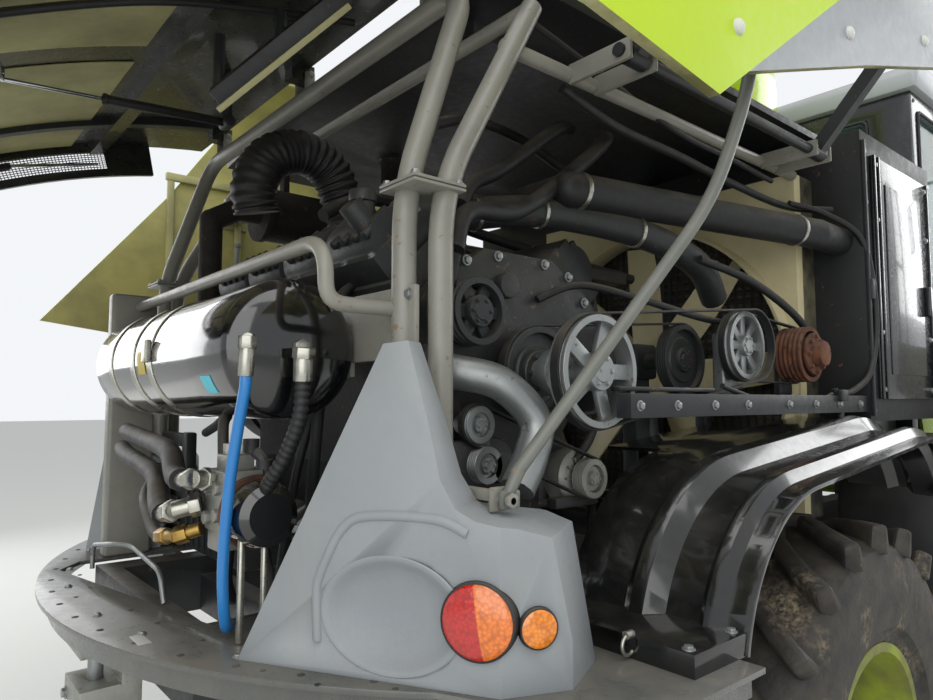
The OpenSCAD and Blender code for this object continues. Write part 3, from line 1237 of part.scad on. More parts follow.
// Flap at the spout's end: a channel open below, its cheeks outside the arm's walls
flap_len = 420;
module spout_flap() color(grey) {
  cheek = spout_w / 2 + 6;
  for (s = [-1, 1]) difference() {
    side_plate(s > 0 ? cheek : -cheek - 7, s > 0 ? cheek + 7 : -cheek) polygon([
      [flap_pin_x + 30, duct_top - 76], [flap_pin_x + 30, duct_top - 16], [arm_x1 - 6, duct_top + 15],
      [arm_x1 - flap_len, duct_top + 15], [arm_x1 - flap_len, duct_top - 150],
      [arm_x1 - 40, spout_pivot_z + 40]
    ]);
    bar_y(flap_pin_x, flap_pin_z, -spout_w, spout_w, flap_pin_r + gap);
  }
  slab(arm_x1 - flap_len, arm_x1 - 6, -cheek - 1, cheek + 1, duct_top + 8, duct_top + 15);
}

// Intake housing, hung on pins at the front of the rails and held by two cylinders
intake_x0 = drum[0] + drum_r + 40;
intake_x1 = F + intake_dx;
intake_z0 = 900;
intake_z1 = 1560;
intake_wall = 22;
intake_pin = [F + 535, 970];
intake_pin_r = 30;
feed_x = intake_x1 - 190;
feed_z = [intake_z1 - 190, intake_z0 + 190];
feed_shaft_r = 28;
cyl_y = 330;
cyl_a = [F + 190, 725];
cyl_b = [F + 1350, 835];
cyl_pin_r = 18;
eye_slack = 9;
module intake_housing() color(lime) {
  difference() {
    slab(intake_x0, intake_x1, -intake_w / 2, intake_w / 2, intake_z0, intake_z1);
    slab(intake_x0 - 1, intake_x1 + 1, -intake_w / 2 + intake_wall, intake_w / 2 - intake_wall,
      intake_z0 + intake_wall, intake_z1 - intake_wall);
    bar_y(drum[0], drum[1], -intake_w, intake_w, drum_r + 100);
    bar_y(intake_pin[0], intake_pin[1], -intake_w, intake_w, intake_pin_r + gap);
    for (z = feed_z) bar_y(feed_x, z, -intake_w, intake_w, feed_shaft_r + gap);
  }
  // Mounting frame for the front attachment, with its hooks
  for (s = [-1, 1]) slab(intake_x1 - 60, intake_x1, s > 0 ? intake_w / 2 - 1 : -intake_w / 2 - 90,
    s > 0 ? intake_w / 2 + 90 : -intake_w / 2 + 1, intake_z0, intake_z1);
  slab(intake_x1 - 60, intake_x1, -intake_w / 2 - 90, intake_w / 2 + 90, intake_z1 - 1, intake_z1 + 60);
  // Lugs and pins for the lift cylinders
  both() {
    for (s = [-1, 1])
      slab(cyl_b[0] - 40, cyl_b[0] + 40, -cyl_y + s * 38 - 8, -cyl_y + s * 38 + 8, cyl_b[1] - 34, intake_z0 + 1);
    bar_y(cyl_b[0], cyl_b[1], -cyl_y - 44, -cyl_y + 44, cyl_pin_r);
  }
}
module feed_roll(z) {
  bar_y(feed_x, z, -intake_w / 2 + intake_wall + 6, intake_w / 2 - intake_wall - 6, feed_roll_r - 18);
  bar_y(feed_x, z, -intake_w / 2 - 12, intake_w / 2 + 12, feed_shaft_r);
  for (i = [0 : 11]) translate([feed_x, 0, z]) rotate([0, i * 30, 0])
    slab(feed_roll_r - 30, feed_roll_r, -intake_w / 2 + intake_wall + 12, intake_w / 2 - intake_wall - 12, -9, 9);
}
module feed_roll_upper() color(silver) feed_roll(feed_z[0]);
module feed_roll_lower() color(silver) feed_roll(feed_z[1]);

// Two lift cylinders from the front axle to the intake housing
cyl_len = norm(cyl_b - cyl_a);
cyl_tilt = atan2(cyl_b[1] - cyl_a[1], cyl_b[0] - cyl_a[0]);
barrel_len = 700;
rod_in = 160;
module along_cylinder() {
  translate([cyl_a[0], -cyl_y, cyl_a[1]]) rotate([0, -cyl_tilt, 0]) children();
}
module lift_barrels() color(dark) both() along_cylinder() difference() {
  union() {
    bar_y(0, 0, -28, 28, 34);
    bar_x(0, 0, 10, 60, 26);
    bar_x(0, 0, 54, barrel_len, 42);
    bar_x(0, 0, barrel_len - 40, barrel_len, 50);
  }
  bar_y(0, 0, -40, 40, cyl_pin_r + gap);
  bar_x(0, 0, barrel_len - 300, barrel_len + 1, 24 + gap);
}
module lift_rods() color(silver) both() along_cylinder() difference() {
  union() {
    bar_x(0, 0, barrel_len - rod_in, cyl_len - 25, 24);
    bar_y(cyl_len, 0, -28, 28, cyl_pin_r + eye_slack + 14);
  }
  bar_y(cyl_len, 0, -40, 40, cyl_pin_r + eye_slack);
}

// Hydraulic valve block, filter and pump beside the tank
block = [R - 1480, -645];
block_z0 = 1320;
block_z1 = 1450;
module hydraulic_block() color(silver) {
  slab(block[0] - 45, block[0] + 45, block[1] - 60, block[1] + 60, block_z0, block_z1);
  for (s = [-1, 1]) bar_z(block[0] + s * 27, block[1] + 49, deck_top + gap, block_z0 + 1, 8);
}

// Hoses held between their fittings
function cat(a, b, c, d, t) = 0.5 * ((2 * b) + (c - a) * t + (2 * a - 5 * b + 4 * c - d) * t * t
  + (3 * b - a - 3 * c + d) * t * t * t);
function smooth_path(p, n) = [
  for (i = [0 : len(p) - 2]) for (k = [0 : n - 1])
    cat(p[max(i - 1, 0)], p[i], p[i + 1], p[min(i + 2, len(p) - 1)], k / n),
  p[len(p) - 1]
];
module hose(points, r, n = 4, sides = 8) {
  path = smooth_path(points, n);
  last = len(path) - 1;
  rings = [
    for (i = [0 : last])
      let (
        d = unit(path[min(i + 1, last)] - path[max(i - 1, 0)]),
        ref = abs(d[1]) > 0.9 ? [1, 0, 0] : [0, 1, 0],
        u = unit(cross(d, ref)),
        v = cross(d, u)
      )
      for (k = [0 : sides - 1]) path[i] + r * (cos(k * 360 / sides) * u + sin(k * 360 / sides) * v)
  ];
  faces = concat(
    [[for (k = [0 : sides - 1]) k]],
    [for (i = [0 : last - 1]) for (k = [0 : sides - 1])
      [i * sides + k, (i + 1) * sides + k, (i + 1) * sides + (k + 1) % sides, i * sides + (k + 1) % sides]],
    [[for (k = [sides - 1 : -1 : 0]) last * sides + k]]
  );
  polyhedron(points = rings, faces = faces, convexity = 6);
}
module hoses() color(black) {
  bar_z(R - 1500, -620, tank_z - 230, tank_z - 200 - gap, 18);
  hose([[R - 1500, -620, tank_z - 206], [R - 1500, -620, 1496], [R - 1485, -640, 1474],
    [R - 1480, -645, block_z1 + 6]], 13);
  bar_z(R - 1480, -645, block_z1 + gap, block_z1 + 20, 18);
}

// Hitch jaw on the rear cross member
module hitch_jaw() color(silver) {
  difference() {
    slab(hitch_plate_x - 150, hitch_plate_x - gap, -90, 90, 800, 1000);
    slab(hitch_plate_x - 160, hitch_plate_x - 50, -100, 100, 860, 940);
    bar_z(hitch_plate_x - 95, 0, 790, 1010, 20);
  }
}

main_frame();
rear_deck();
lamp_pods();
tail_lamps();
post_frame();
engine_block();
valve_covers();
exhaust_system();
belt_drive();
main_drive();
radiator();
radiator_housing();
air_pipes();
pressure_tank();
hydraulic_block();
hoses();
mudguards();
rear_axle();
front_axle();
cab_shell();
cab_roof();
cab_glass();
operator_station();
access_platform();
spout_turret();
fuel_tanks();
cab_fittings();
hitch_jaw();
crop_channel();
knuckle_right();
knuckle_left();
tie_rod();
rear_rim_right();
rear_rim_left();
rear_tyre_right();
rear_tyre_left();
front_rim_right();
front_rim_left();
front_tyre_right();
front_tyre_left();
cooling_fan();
tailgate();
panel_arms_right();
panel_arms_left();
side_panel_right();
side_panel_left();
panel_stay_right();
panel_stay_left();
cab_door();
door_glass();
intake_housing();
feed_roll_upper();
feed_roll_lower();
lift_barrels();
lift_rods();
spout_base();
spout_boom();
spout_flap();
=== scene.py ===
"""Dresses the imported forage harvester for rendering: finishes, rounded bodywork and engine bay detail.

The machine stands on its wheels with +X forward, +Y to its left and +Z up, in metres.
"""

import json
import logging
import math
from dataclasses import dataclass, field
from enum import Enum
from typing import Optional, Sequence

import bpy
from mathutils import Matrix, Vector

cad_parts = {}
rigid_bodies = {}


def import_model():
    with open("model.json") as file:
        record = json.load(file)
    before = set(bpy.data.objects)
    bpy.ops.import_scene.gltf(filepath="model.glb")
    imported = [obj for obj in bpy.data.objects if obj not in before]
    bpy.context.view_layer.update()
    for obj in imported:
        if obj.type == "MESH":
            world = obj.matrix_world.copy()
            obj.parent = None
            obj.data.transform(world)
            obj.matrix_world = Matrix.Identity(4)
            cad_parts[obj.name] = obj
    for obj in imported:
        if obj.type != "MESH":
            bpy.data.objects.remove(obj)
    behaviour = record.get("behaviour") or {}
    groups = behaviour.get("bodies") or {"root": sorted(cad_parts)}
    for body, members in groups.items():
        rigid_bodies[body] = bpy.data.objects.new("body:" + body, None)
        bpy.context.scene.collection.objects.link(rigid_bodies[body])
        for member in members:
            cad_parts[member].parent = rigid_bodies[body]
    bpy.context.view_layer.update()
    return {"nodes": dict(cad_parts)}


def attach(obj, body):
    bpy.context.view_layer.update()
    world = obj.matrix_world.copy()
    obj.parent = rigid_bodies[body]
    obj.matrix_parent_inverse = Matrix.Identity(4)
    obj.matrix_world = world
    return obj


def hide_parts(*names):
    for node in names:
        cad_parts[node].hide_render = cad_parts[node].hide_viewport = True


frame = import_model()

LOG = logging.getLogger("harvester")
Point = tuple[float, float, float]
Piece = bpy.types.Object
SIDES = (("right", -1), ("left", 1))
# Along the machine, in metres
REAR_AXLE = -1.05
FRONT_AXLE = 1.9
# From axle to axle and up to the deck's face, in millimetres
WHEELBASE = 2950
DECK_TOP = 1070


# ---------------------------------------------------------------- finishes


def linear(hex_colour: str) -> tuple[float, float, float, float]:
    """Turns a written colour into the linear values that a shader takes.

    Args:
        hex_colour: The colour as #rrggbb.

    Returns:
        Red, green, blue and an alpha of one.
    """
    parts = [int(hex_colour[i : i + 2], 16) / 255 for i in (1, 3, 5)]
    low = [c / 12.92 if c <= 0.04045 else ((c + 0.055) / 1.055) ** 2.4 for c in parts]
    return (low[0], low[1], low[2], 1.0)


class Bench:
    """A material's node tree with a short way to add nodes to it."""

    def __init__(self, name: str) -> None:
        """Makes an empty material tree with its shader and output.

        Args:
            name: The material's name.
        """
        self.material = bpy.data.materials.new(name)
        self.material.use_nodes = True
        self.tree = self.material.node_tree
        self.shader = self.tree.nodes["Principled BSDF"]
        self.output = self.tree.nodes["Material Output"]
        self.coords = self.tree.nodes.new("ShaderNodeTexCoord").outputs["Object"]

    def feed(self, socket: bpy.types.NodeSocket, value: object) -> None:
        """Links a socket to another or sets its value."""
        if isinstance(value, bpy.types.NodeSocket):
            self.tree.links.new(value, socket)
        else:
            socket.default_value = value

    def node(self, kind: str, inputs: dict, **settings: object) -> bpy.types.Node:
        """Adds a node.

        Args:
            kind: The node's type, without its ShaderNode prefix.
            inputs: Socket name or number, to a value or another socket.
            settings: The node's own options.

        Returns:
            The new node.
        """
        made = self.tree.nodes.new("ShaderNode" + kind)
        for key, value in settings.items():
            setattr(made, key, value)
        for key, value in inputs.items():
            self.feed(made.inputs[key], value)
        return made

    def noise(self, scale: float, detail: float = 5.0, stretch: Point = (1, 1, 1)) -> bpy.types.NodeSocket:
        """Adds noise over the object's own coordinates, stretched along the axes."""
        place = self.node("Mapping", {"Vector": self.coords, "Scale": stretch})
        made = self.node("TexNoise", {"Vector": place.outputs[0], "Scale": scale, "Detail": detail, "Roughness": 0.6})
        return made.outputs["Fac"]

    def span(self, value: object, low: float, high: float, to_low: float = 0.0, to_high: float = 1.0):
        """Maps a range of values onto another, clamped."""
        made = self.node("MapRange", {"Value": value, "From Min": low, "From Max": high, "To Min": to_low,
                "To Max": to_high})
        return made.outputs[0]

    def math(self, operation: str, a: object, b: object = 0.5):
        """Adds a math node and returns its result."""
        return self.node("Math", {0: a, 1: b}, operation=operation).outputs[0]

    def mix(self, factor: object, a: object, b: object):
        """Mixes two colours and returns the result."""
        made = self.node("Mix", {0: factor, 6: a, 7: b}, data_type="RGBA")
        return made.outputs[2]

    def axis(self, which: int):
        """Returns one of the object's coordinates, 0 to 2."""
        return self.node("SeparateXYZ", {0: self.coords}).outputs[which]

    def past(self, plane: tuple[float, float, float, float], soft: float) -> bpy.types.NodeSocket:
        """Returns 0 on one side of a plane and 1 beyond it, over a border of twice the soft width."""
        dot = self.node("VectorMath", {0: self.coords, 1: plane[:3]}, operation="DOT_PRODUCT").outputs["Value"]
        return self.span(dot, plane[3] - soft, plane[3] + soft)

    def bump(self, height: bpy.types.NodeSocket, strength: float, distance: float) -> None:
        """Gives the shader a relief from a height."""
        made = self.node("Bump", {"Height": height, "Strength": strength, "Distance": distance})
        self.feed(self.shader.inputs["Normal"], made.outputs[0])

    def facing_up(self):
        """Returns how far a surface faces upwards, 0 to 1."""
        normal = self.node("NewGeometry", {}).outputs["Normal"]
        return self.span(self.node("SeparateXYZ", {0: normal}).outputs[2], 0.1, 0.95)


@dataclass(frozen=True)
class Paint:
    """A painted, cast or moulded finish with mottling, dust on upward faces, chips and grain."""

    name: str
    colour: str
    shade: str
    roughness: float = 0.45
    metallic: float = 0.0
    coat: float = 0.0
    mottle: float = 0.5
    mottle_scale: float = 3.0
    dust: float = 0.25
    dust_colour: str = "#8d8474"
    chips: float = 0.0
    chip_colour: str = "#5d4030"
    grain: float = 0.15
    grain_scale: float = 260.0
    streaks: float = 0.0

    def base(self, bench: Bench):
        """Returns the clean colour before mottling, which split finishes change."""
        return linear(self.colour)

    def build(self) -> bpy.types.Material:
        """Makes the material."""
        bench = Bench(self.name)
        large = bench.span(bench.noise(self.mottle_scale), 0.35, 0.68)
        colour = bench.mix(bench.math("MULTIPLY", large, self.mottle), self.base(bench), linear(self.shade))
        if self.streaks:
            run = bench.span(bench.noise(9.0, 4.0, (1, 1, 0.12)), 0.5, 0.72)
            colour = bench.mix(bench.math("MULTIPLY", run, self.streaks), colour, linear(self.dust_colour))
        fine = bench.noise(38.0, 8.0)
        if self.chips:
            chip = bench.span(fine, 0.66 - 0.12 * self.chips, 0.70 - 0.12 * self.chips)
            colour = bench.mix(chip, colour, linear(self.chip_colour))
        settled = bench.math("MULTIPLY", bench.facing_up(), bench.span(bench.noise(7.0, 6.0), 0.3, 0.7))
        settled = bench.math("MULTIPLY", settled, self.dust)
        colour = bench.mix(settled, colour, linear(self.dust_colour))
        bench.feed(bench.shader.inputs["Base Color"], colour)
        rough = bench.span(fine, 0.3, 0.7, self.roughness - 0.07, self.roughness + 0.1)
        bench.feed(bench.shader.inputs["Roughness"], bench.math("ADD", rough, bench.math("MULTIPLY", settled, 0.35)))
        bench.shader.inputs["Metallic"].default_value = self.metallic
        bench.shader.inputs["Coat Weight"].default_value = self.coat
        bench.shader.inputs["Coat Roughness"].default_value = 0.08
        bench.bump(bench.noise(self.grain_scale, 3.0), self.grain, 0.002)
        return bench.material


@dataclass(frozen=True)
class TwoTone(Paint):
    """Paint that changes to a second colour beyond a plane."""

    second: str = "#c3c7c8"
    plane: tuple[float, float, float, float] = (0, 0, 1, 0)
    upward: bool = False

    def base(self, bench: Bench):
        """Returns the first colour on one side of the plane and the second on the other or on its upward faces."""
        side = bench.past(self.plane, 0.0015)
        if self.upward:
            side = bench.math("MULTIPLY", side, bench.span(bench.facing_up(), 0.1, 0.3))
        return bench.mix(side, linear(self.colour), linear(self.second))


@dataclass(frozen=True)
class Lined(Paint):
    """Paint that differs inside, told by the face's direction, with a second colour beyond a plane."""

    inside: str = "#a9a45a"
    direction: Point = (0, 0, 1)
    second: str = "#c3c7c8"
    plane: tuple[float, float, float, float] = (0, 0, 1, 99)
    edge: float = -0.07
    spread: float = 0.0
    blotch: str = "#6f6c44"

    def base(self, bench: Bench):
        """Returns the outer colour where a face looks along the direction, and the inner elsewhere."""
        normal = bench.node("NewGeometry", {}).outputs["Normal"]
        aside = bench.node("VectorMath", {0: bench.coords, 1: (0.0, self.spread, 0.0), 2: self.direction},
            operation="MULTIPLY_ADD").outputs["Vector"]
        dot = bench.node("VectorMath", {0: normal, 1: aside}, operation="DOT_PRODUCT").outputs["Value"]
        blotch = bench.span(bench.noise(4.5, 7.0), 0.4, 0.62)
        inner = bench.mix(blotch, linear(self.inside), linear(self.blotch))
        outer = bench.mix(bench.past(self.plane, 0.001), linear(self.colour), linear(self.second))
        return bench.mix(bench.span(dot, self.edge - 0.05, self.edge + 0.05), inner, outer)


@dataclass(frozen=True)
class Tread:
    """Tyre rubber with dried mud over its tread and dust on its walls."""

    name: str
    rubber: str = "#1b1a19"
    mud: str = "#857761"
    amount: float = 0.5

    def build(self) -> bpy.types.Material:
        """Makes the material."""
        bench = Bench(self.name)
        patches = bench.span(bench.noise(5.0, 9.0), 0.62 - 0.2 * self.amount, 0.75 - 0.15 * self.amount)
        crumbs = bench.span(bench.noise(60.0, 6.0), 0.42, 0.62)
        film = bench.mix(0.16, linear(self.rubber), linear(self.mud))
        colour = bench.mix(bench.span(bench.noise(14.0, 7.0), 0.35, 0.7), linear(self.rubber), film)
        cover = bench.math("MULTIPLY", patches, crumbs)
        colour = bench.mix(cover, colour, linear(self.mud))
        bench.feed(bench.shader.inputs["Base Color"], colour)
        bench.feed(bench.shader.inputs["Roughness"], bench.span(cover, 0.0, 1.0, 0.62, 0.95))
        height = bench.math("ADD", bench.math("MULTIPLY", cover, 0.8),
            bench.math("MULTIPLY", bench.noise(90.0, 4.0), 0.35))
        bench.bump(height, 0.7, 0.006)
        return bench.material


@dataclass(frozen=True)
class Lens:
    """A moulded lamp lens with fine prisms and a second colour past a tilted line."""

    name: str
    colour: str
    second: str
    plane: tuple[float, float, float, float]

    def build(self) -> bpy.types.Material:
        """Makes the material."""
        bench = Bench(self.name)
        colour = bench.mix(bench.past(self.plane, 0.001), linear(self.colour), linear(self.second))
        cells = bench.node("TexVoronoi", {"Vector": bench.coords, "Scale": 130.0}).outputs["Distance"]
        colour = bench.mix(bench.span(cells, 0.2, 0.8, 0.0, 0.45), colour, linear("#5a0f08"))
        bench.feed(bench.shader.inputs["Base Color"], colour)
        bench.shader.inputs["Roughness"].default_value = 0.12
        bench.shader.inputs["Coat Weight"].default_value = 1.0
        bench.bump(cells, 0.35, 0.002)
        return bench.material


@dataclass(frozen=True)
class Glazing:
    """Tinted window glass with a film of dust."""

    name: str
    tint: str = "#9fb0ae"

    def build(self) -> bpy.types.Material:
        """Makes the material."""
        bench = Bench(self.name)
        bench.shader.inputs["Base Color"].default_value = linear(self.tint)
        bench.shader.inputs["Transmission Weight"].default_value = 0.92
        bench.shader.inputs["IOR"].default_value = 1.1
        bench.feed(bench.shader.inputs["Roughness"], bench.span(bench.noise(6.0, 7.0), 0.35, 0.75, 0.02, 0.22))
        return bench.material


@dataclass(frozen=True)
class Cloth:
    """Woven seat cloth with a soft sheen."""

    name: str
    colour: str
    second: str

    def build(self) -> bpy.types.Material:
        """Makes the material."""
        bench = Bench(self.name)
        threads = {"Vector": bench.coords, "Scale": 170.0, "Distortion": 1.5}
        weave, cross = (bench.node("TexWave", threads, bands_direction=way).outputs["Fac"] for way in "YZ")
        cloth = bench.math("MULTIPLY", weave, cross)
        colour = bench.mix(cloth, linear(self.second), linear(self.colour))
        bench.feed(bench.shader.inputs["Base Color"], colour)
        bench.shader.inputs["Roughness"].default_value = 0.92
        bench.shader.inputs["Sheen Weight"].default_value = 0.4
        bench.bump(cloth, 0.4, 0.001)
        return bench.material


class Tone(Enum):
    """The finishes that the machine's pieces share."""

    CHASSIS = Paint("chassis_paint", "#1f2123", "#2c2e30", 0.42, dust=0.45, chips=0.12, mottle_scale=4.0)
    DECK = Paint("deck_paint", "#4f504d", "#5f605b", 0.26, coat=0.3, dust=0.35, streaks=0.15, grain=0.08)
    POD = Paint("pod_plastic", "#83888b", "#95999a", 0.42, dust=0.3, dust_colour="#a19c90", grain=0.3,
        grain_scale=420.0, streaks=0.12)
    TUBE = Paint("tube_paint", "#7d7c74", "#929086", 0.36, dust=0.35, chips=0.2, chip_colour="#7b6753", streaks=0.2,
        mottle_scale=9.0)
    # A darker copy of the tube paint for the panel stays: the same grey as the posts, darkened as painted shade.
    TUBE_IN_SHADE = Paint("tube_paint_painted_shade", "#63655f", "#77776f", 0.36, dust=0.35, chips=0.2, chip_colour="#7b6753", streaks=0.2,
        mottle_scale=9.0)
    CASTING = Paint("engine_casting", "#323433", "#4a4b47", 0.5, metallic=0.35, dust=0.5, chips=0.25,
        chip_colour="#6d5a48", grain=0.5, grain_scale=150.0)
    DARK_CAST = Paint("dark_casting", "#27292a", "#3c3e3e", 0.48, metallic=0.25, dust=0.55, chips=0.15, grain=0.45,
        grain_scale=150.0)
    RUST = Paint("rusted_iron", "#4d3127", "#7a4f37", 0.85, metallic=0.2, mottle=0.9, mottle_scale=22.0, dust=0.3,
        chips=0.6, chip_colour="#35261f", grain=0.7, grain_scale=120.0)
    STEEL = Paint("worn_steel", "#8b8f8f", "#a2a5a3", 0.36, metallic=0.7, dust=0.3, chips=0.2, chip_colour="#6f6a60",
        mottle_scale=12.0)
    BRIGHT = Paint("zinc_fitting", "#b5b4aa", "#8f8e84", 0.28, metallic=0.9, dust=0.2, mottle_scale=25.0, grain=0.1)
    BRASS = Paint("brass_fitting", "#a58748", "#7e6738", 0.34, metallic=0.9, dust=0.2, mottle_scale=25.0)
    ALLOY = Paint("alloy_block", "#9a9b94", "#7f8079", 0.45, metallic=0.6, dust=0.4, chips=0.1, chip_colour="#5c5a52",
        mottle_scale=18.0, grain=0.4)
    CREAM = Paint("cream_plastic", "#c9bf97", "#a99f7c", 0.5, dust=0.5, dust_colour="#7d7358", mottle_scale=5.0)
    LIME = Paint("lime_paint", "#a9c614", "#9dba14", 0.25, coat=0.6, dust=0.3, dust_colour="#9c9a6a", mottle=0.4)
    GREY = Paint("light_grey_paint", "#9ea2a4", "#8f9395", 0.45, coat=0.15, dust=0.3)
    TANK = Paint("tank_black", "#08090a", "#101213", 0.1, coat=1.0, dust=0.25, grain=0.02)
    GUARD = Paint("guard_plastic", "#0b0c0d", "#131415", 0.16, coat=0.8, dust=0.16, dust_colour="#6e6a60", grain=0.04,
        streaks=0.05)
    PLASTIC = Paint("black_plastic", "#17181a", "#202224", 0.5, dust=0.35, grain=0.35)
    HOSE = Paint("hose_rubber", "#131415", "#1f2021", 0.55, dust=0.5, grain=0.4, grain_scale=300.0)
    BLUE = Paint("blue_hose", "#1c6fb4", "#2c86c8", 0.35, coat=0.3, dust=0.15)
    RED = Paint("red_plastic", "#a3211b", "#7e1713", 0.4, dust=0.4)
    YELLOW = Paint("yellow_mark", "#c9b21c", "#a8961c", 0.5, dust=0.3)
    CYAN = Paint("cyan_mark", "#4fc3d4", "#3fb0c2", 0.4, dust=0.1)
    WHITE = Paint("white_mark", "#c9cac4", "#b5b6b0", 0.5, dust=0.2)
    CHROME = Paint("chromed_rod", "#c4c8cb", "#b3b8bb", 0.08, metallic=1.0, dust=0.05, grain=0.0)
    # The tail shell's inside colour, on faces not turned up along its direction, is nearly black: partly its dark
    # lining, partly painted shade under the raised tailgate.
    TAIL_SHELL = Lined("tail_shell_lining_and_shade", "#a9c614", "#9dba14", 0.3, coat=0.4, mottle=0.0, dust=0.1, inside="#2b2b24",
        direction=(-0.35, 0, 1), edge=0.45, spread=1.0, blotch="#191a18")
    PANEL_RIGHT = Lined("panel_right", "#b4d016", "#a8c414", 0.5, coat=0.1, mottle=0.0, dust=0.1, inside="#bdb98a",
        direction=(0, -1, 0.4), second="#8f9497", plane=(0.578, 0, -0.816, -2.938))
    PANEL_LEFT = Lined("panel_left", "#b4d016", "#a8c414", 0.5, coat=0.1, mottle=0.0, dust=0.1, inside="#a39b5c",
        direction=(0, 1, 0.4), blotch="#8a8550")
    HOUSING = TwoTone("housing_paint", "#17191a", "#202223", 0.5, dust=0.15, chips=0.1, second="#a9c614",
        plane=(0, 0, 1, 2.655), upward=True)
    KHAKI = Paint("khaki_liner", "#b3ae78", "#77744f", 0.6, mottle=0.9, mottle_scale=2.2, dust=0.1)
    DULL_RIM = Paint("muddy_rim", "#8d9a2c", "#5d5a3a", 0.6, mottle=0.9, mottle_scale=6.0, dust=0.7,
        dust_colour="#7a6c56", streaks=0.4)
    EXHAUST = TwoTone("exhaust_iron", "#26221f", "#35302b", 0.8, metallic=0.2, mottle=0.5, mottle_scale=22.0,
        dust=0.3, chips=0.2, chip_colour="#5a4030", second="#5f3c2e", plane=(0, -1, 0, -0.1))
    YELLOW_BAR = Paint("cream_bar", "#b9b486", "#9a9569", 0.5, dust=0.2)
    CORE = TwoTone("radiator_paint", "#c9bf97", "#a99f7c", 0.5, dust=0.4, dust_colour="#7d7358", mottle_scale=5.0,
        second="#1c1d1c", plane=(1, 0, 0, REAR_AXLE + 0.595))
    CAB = Paint("cab_paint", "#15171a", "#1f2124", 0.22, coat=0.5, dust=0.3)
    TYRE = Tread("muddy_tyre")
    CLEANER_TYRE = Tread("dusty_tyre", amount=0.25)
    GLASS = Glazing("cab_glass")
    SEAT = Cloth("seat_cloth", "#3c4044", "#1d1f21")
    STAGE = Paint("pale_floor", "#d6d6d2", "#cfcfca", 0.8, dust=0.0, mottle=0.15, grain=0.0)


# The record's material slot that a tone has where none is given
SLOTS = {Tone.BRIGHT: "bare_aluminium", Tone.CHROME: "chrome_rod", Tone.CREAM: "cream_plastic",
    Tone.DARK_CAST: "cast_dark", Tone.HOSE: "black_rubber", Tone.PLASTIC: "cab_plastic", Tone.POD: "grey_plastic",
    Tone.RUST: "rusty_iron", Tone.SEAT: "cab_plastic", Tone.STEEL: "machined_steel", Tone.TANK: "tank_black",
    Tone.TUBE: "frame_grey", Tone.WHITE: "light_grey"}
_MADE: dict[str, bpy.types.Material] = {}


def finish(tone: object) -> bpy.types.Material:
    """Returns the material of a tone, made once."""
    look = tone.value if isinstance(tone, Tone) else tone
    if look.name not in _MADE:
        _MADE[look.name] = look.build()
    return _MADE[look.name]


# ---------------------------------------------------------------- modelling


def deselect() -> None:
    """Leaves edit mode and deselects everything."""
    if bpy.context.object and bpy.context.object.mode != "OBJECT":
        bpy.ops.object.mode_set(mode="OBJECT")
    bpy.ops.object.select_all(action="DESELECT")


def pick(*objects: Piece) -> None:
    """Selects objects and makes the first one active."""
    deselect()
    for item in objects:
        item.select_set(True)
    bpy.context.view_layer.objects.active = objects[0]


def settle(obj: Piece) -> Piece:
    """Puts an object's place, turn and scale into its mesh."""
    pick(obj)
    bpy.ops.object.transform_apply(location=True, rotation=True, scale=True)
    return obj


def modify(obj: Piece, kind: str, **settings: object) -> Piece:
    """Adds a modifier, sets it and applies it."""
    pick(obj)
    made = obj.modifiers.new(kind.title(), kind)
    for key, value in settings.items():
        setattr(made, key, value)
    bpy.ops.object.modifier_apply(modifier=made.name)
    return obj


def rounded(obj: Piece, width: float, segments: int = 2, angle: float = 32.0) -> Piece:
    """Rounds an object's sharp edges and smooths its shading."""
    if width > 0:
        modify(obj, "BEVEL", width=width, segments=segments, limit_method="ANGLE", angle_limit=math.radians(angle))
    pick(obj)
    bpy.ops.object.shade_smooth_by_angle(angle=math.radians(40))
    return obj


def block(name: str, low: Point, high: Point, width: float = 0.003, segments: int = 2) -> Piece:
    """Makes a box between two corners with rounded edges."""
    deselect()
    size = Vector(high) - Vector(low)
    bpy.ops.mesh.primitive_cube_add(size=1, location=(Vector(low) + Vector(high)) / 2)
    made = bpy.context.active_object
    made.name = name
    made.scale = size
    settle(made)
    return rounded(made, min(width, min(size) * 0.45), segments)


def drum(name: str, a: Point, b: Point, radius: float, width: float = 0.002, sides: int = 32,
        tip: Optional[float] = None):
    """Makes a cylinder or cone from a to b with rounded rims.

    Args:
        name: The object's name.
        a: Middle of the first end.
        b: Middle of the second end.
        radius: Radius at the first end.
        width: Width of the rounding.
        sides: Number of sides.
        tip: Radius at the second end, the same where none is given.

    Returns:
        The new object.
    """
    deselect()
    run = Vector(b) - Vector(a)
    turn = run.to_track_quat("Z", "Y").to_euler()
    bpy.ops.mesh.primitive_cone_add(
        vertices=sides, radius1=radius, radius2=radius if tip is None else tip, depth=run.length,
        location=(Vector(a) + Vector(b)) / 2, rotation=turn)
    made = bpy.context.active_object
    made.name = name
    settle(made)
    return rounded(made, min(width, radius * 0.4), 2, 50.0)


def smooth_path(points: Sequence[Point], steps: int = 8) -> list[Vector]:
    """Runs a smooth curve through points.

    Args:
        points: The points it passes.
        steps: Points made in each stretch.

    Returns:
        The points of the curve.
    """
    p = [Vector(q) for q in points]
    out: list[Vector] = []
    for i in range(len(p) - 1):
        a, b, c, d = p[max(i - 1, 0)], p[i], p[i + 1], p[min(i + 2, len(p) - 1)]
        for k in range(steps):
            t = k / steps
            square, cube = (2 * a - 5 * b + 4 * c - d) * t**2, (3 * b - a - 3 * c + d) * t**3
            out.append(0.5 * (2 * b + (c - a) * t + square + cube))
    return out + [p[-1]]


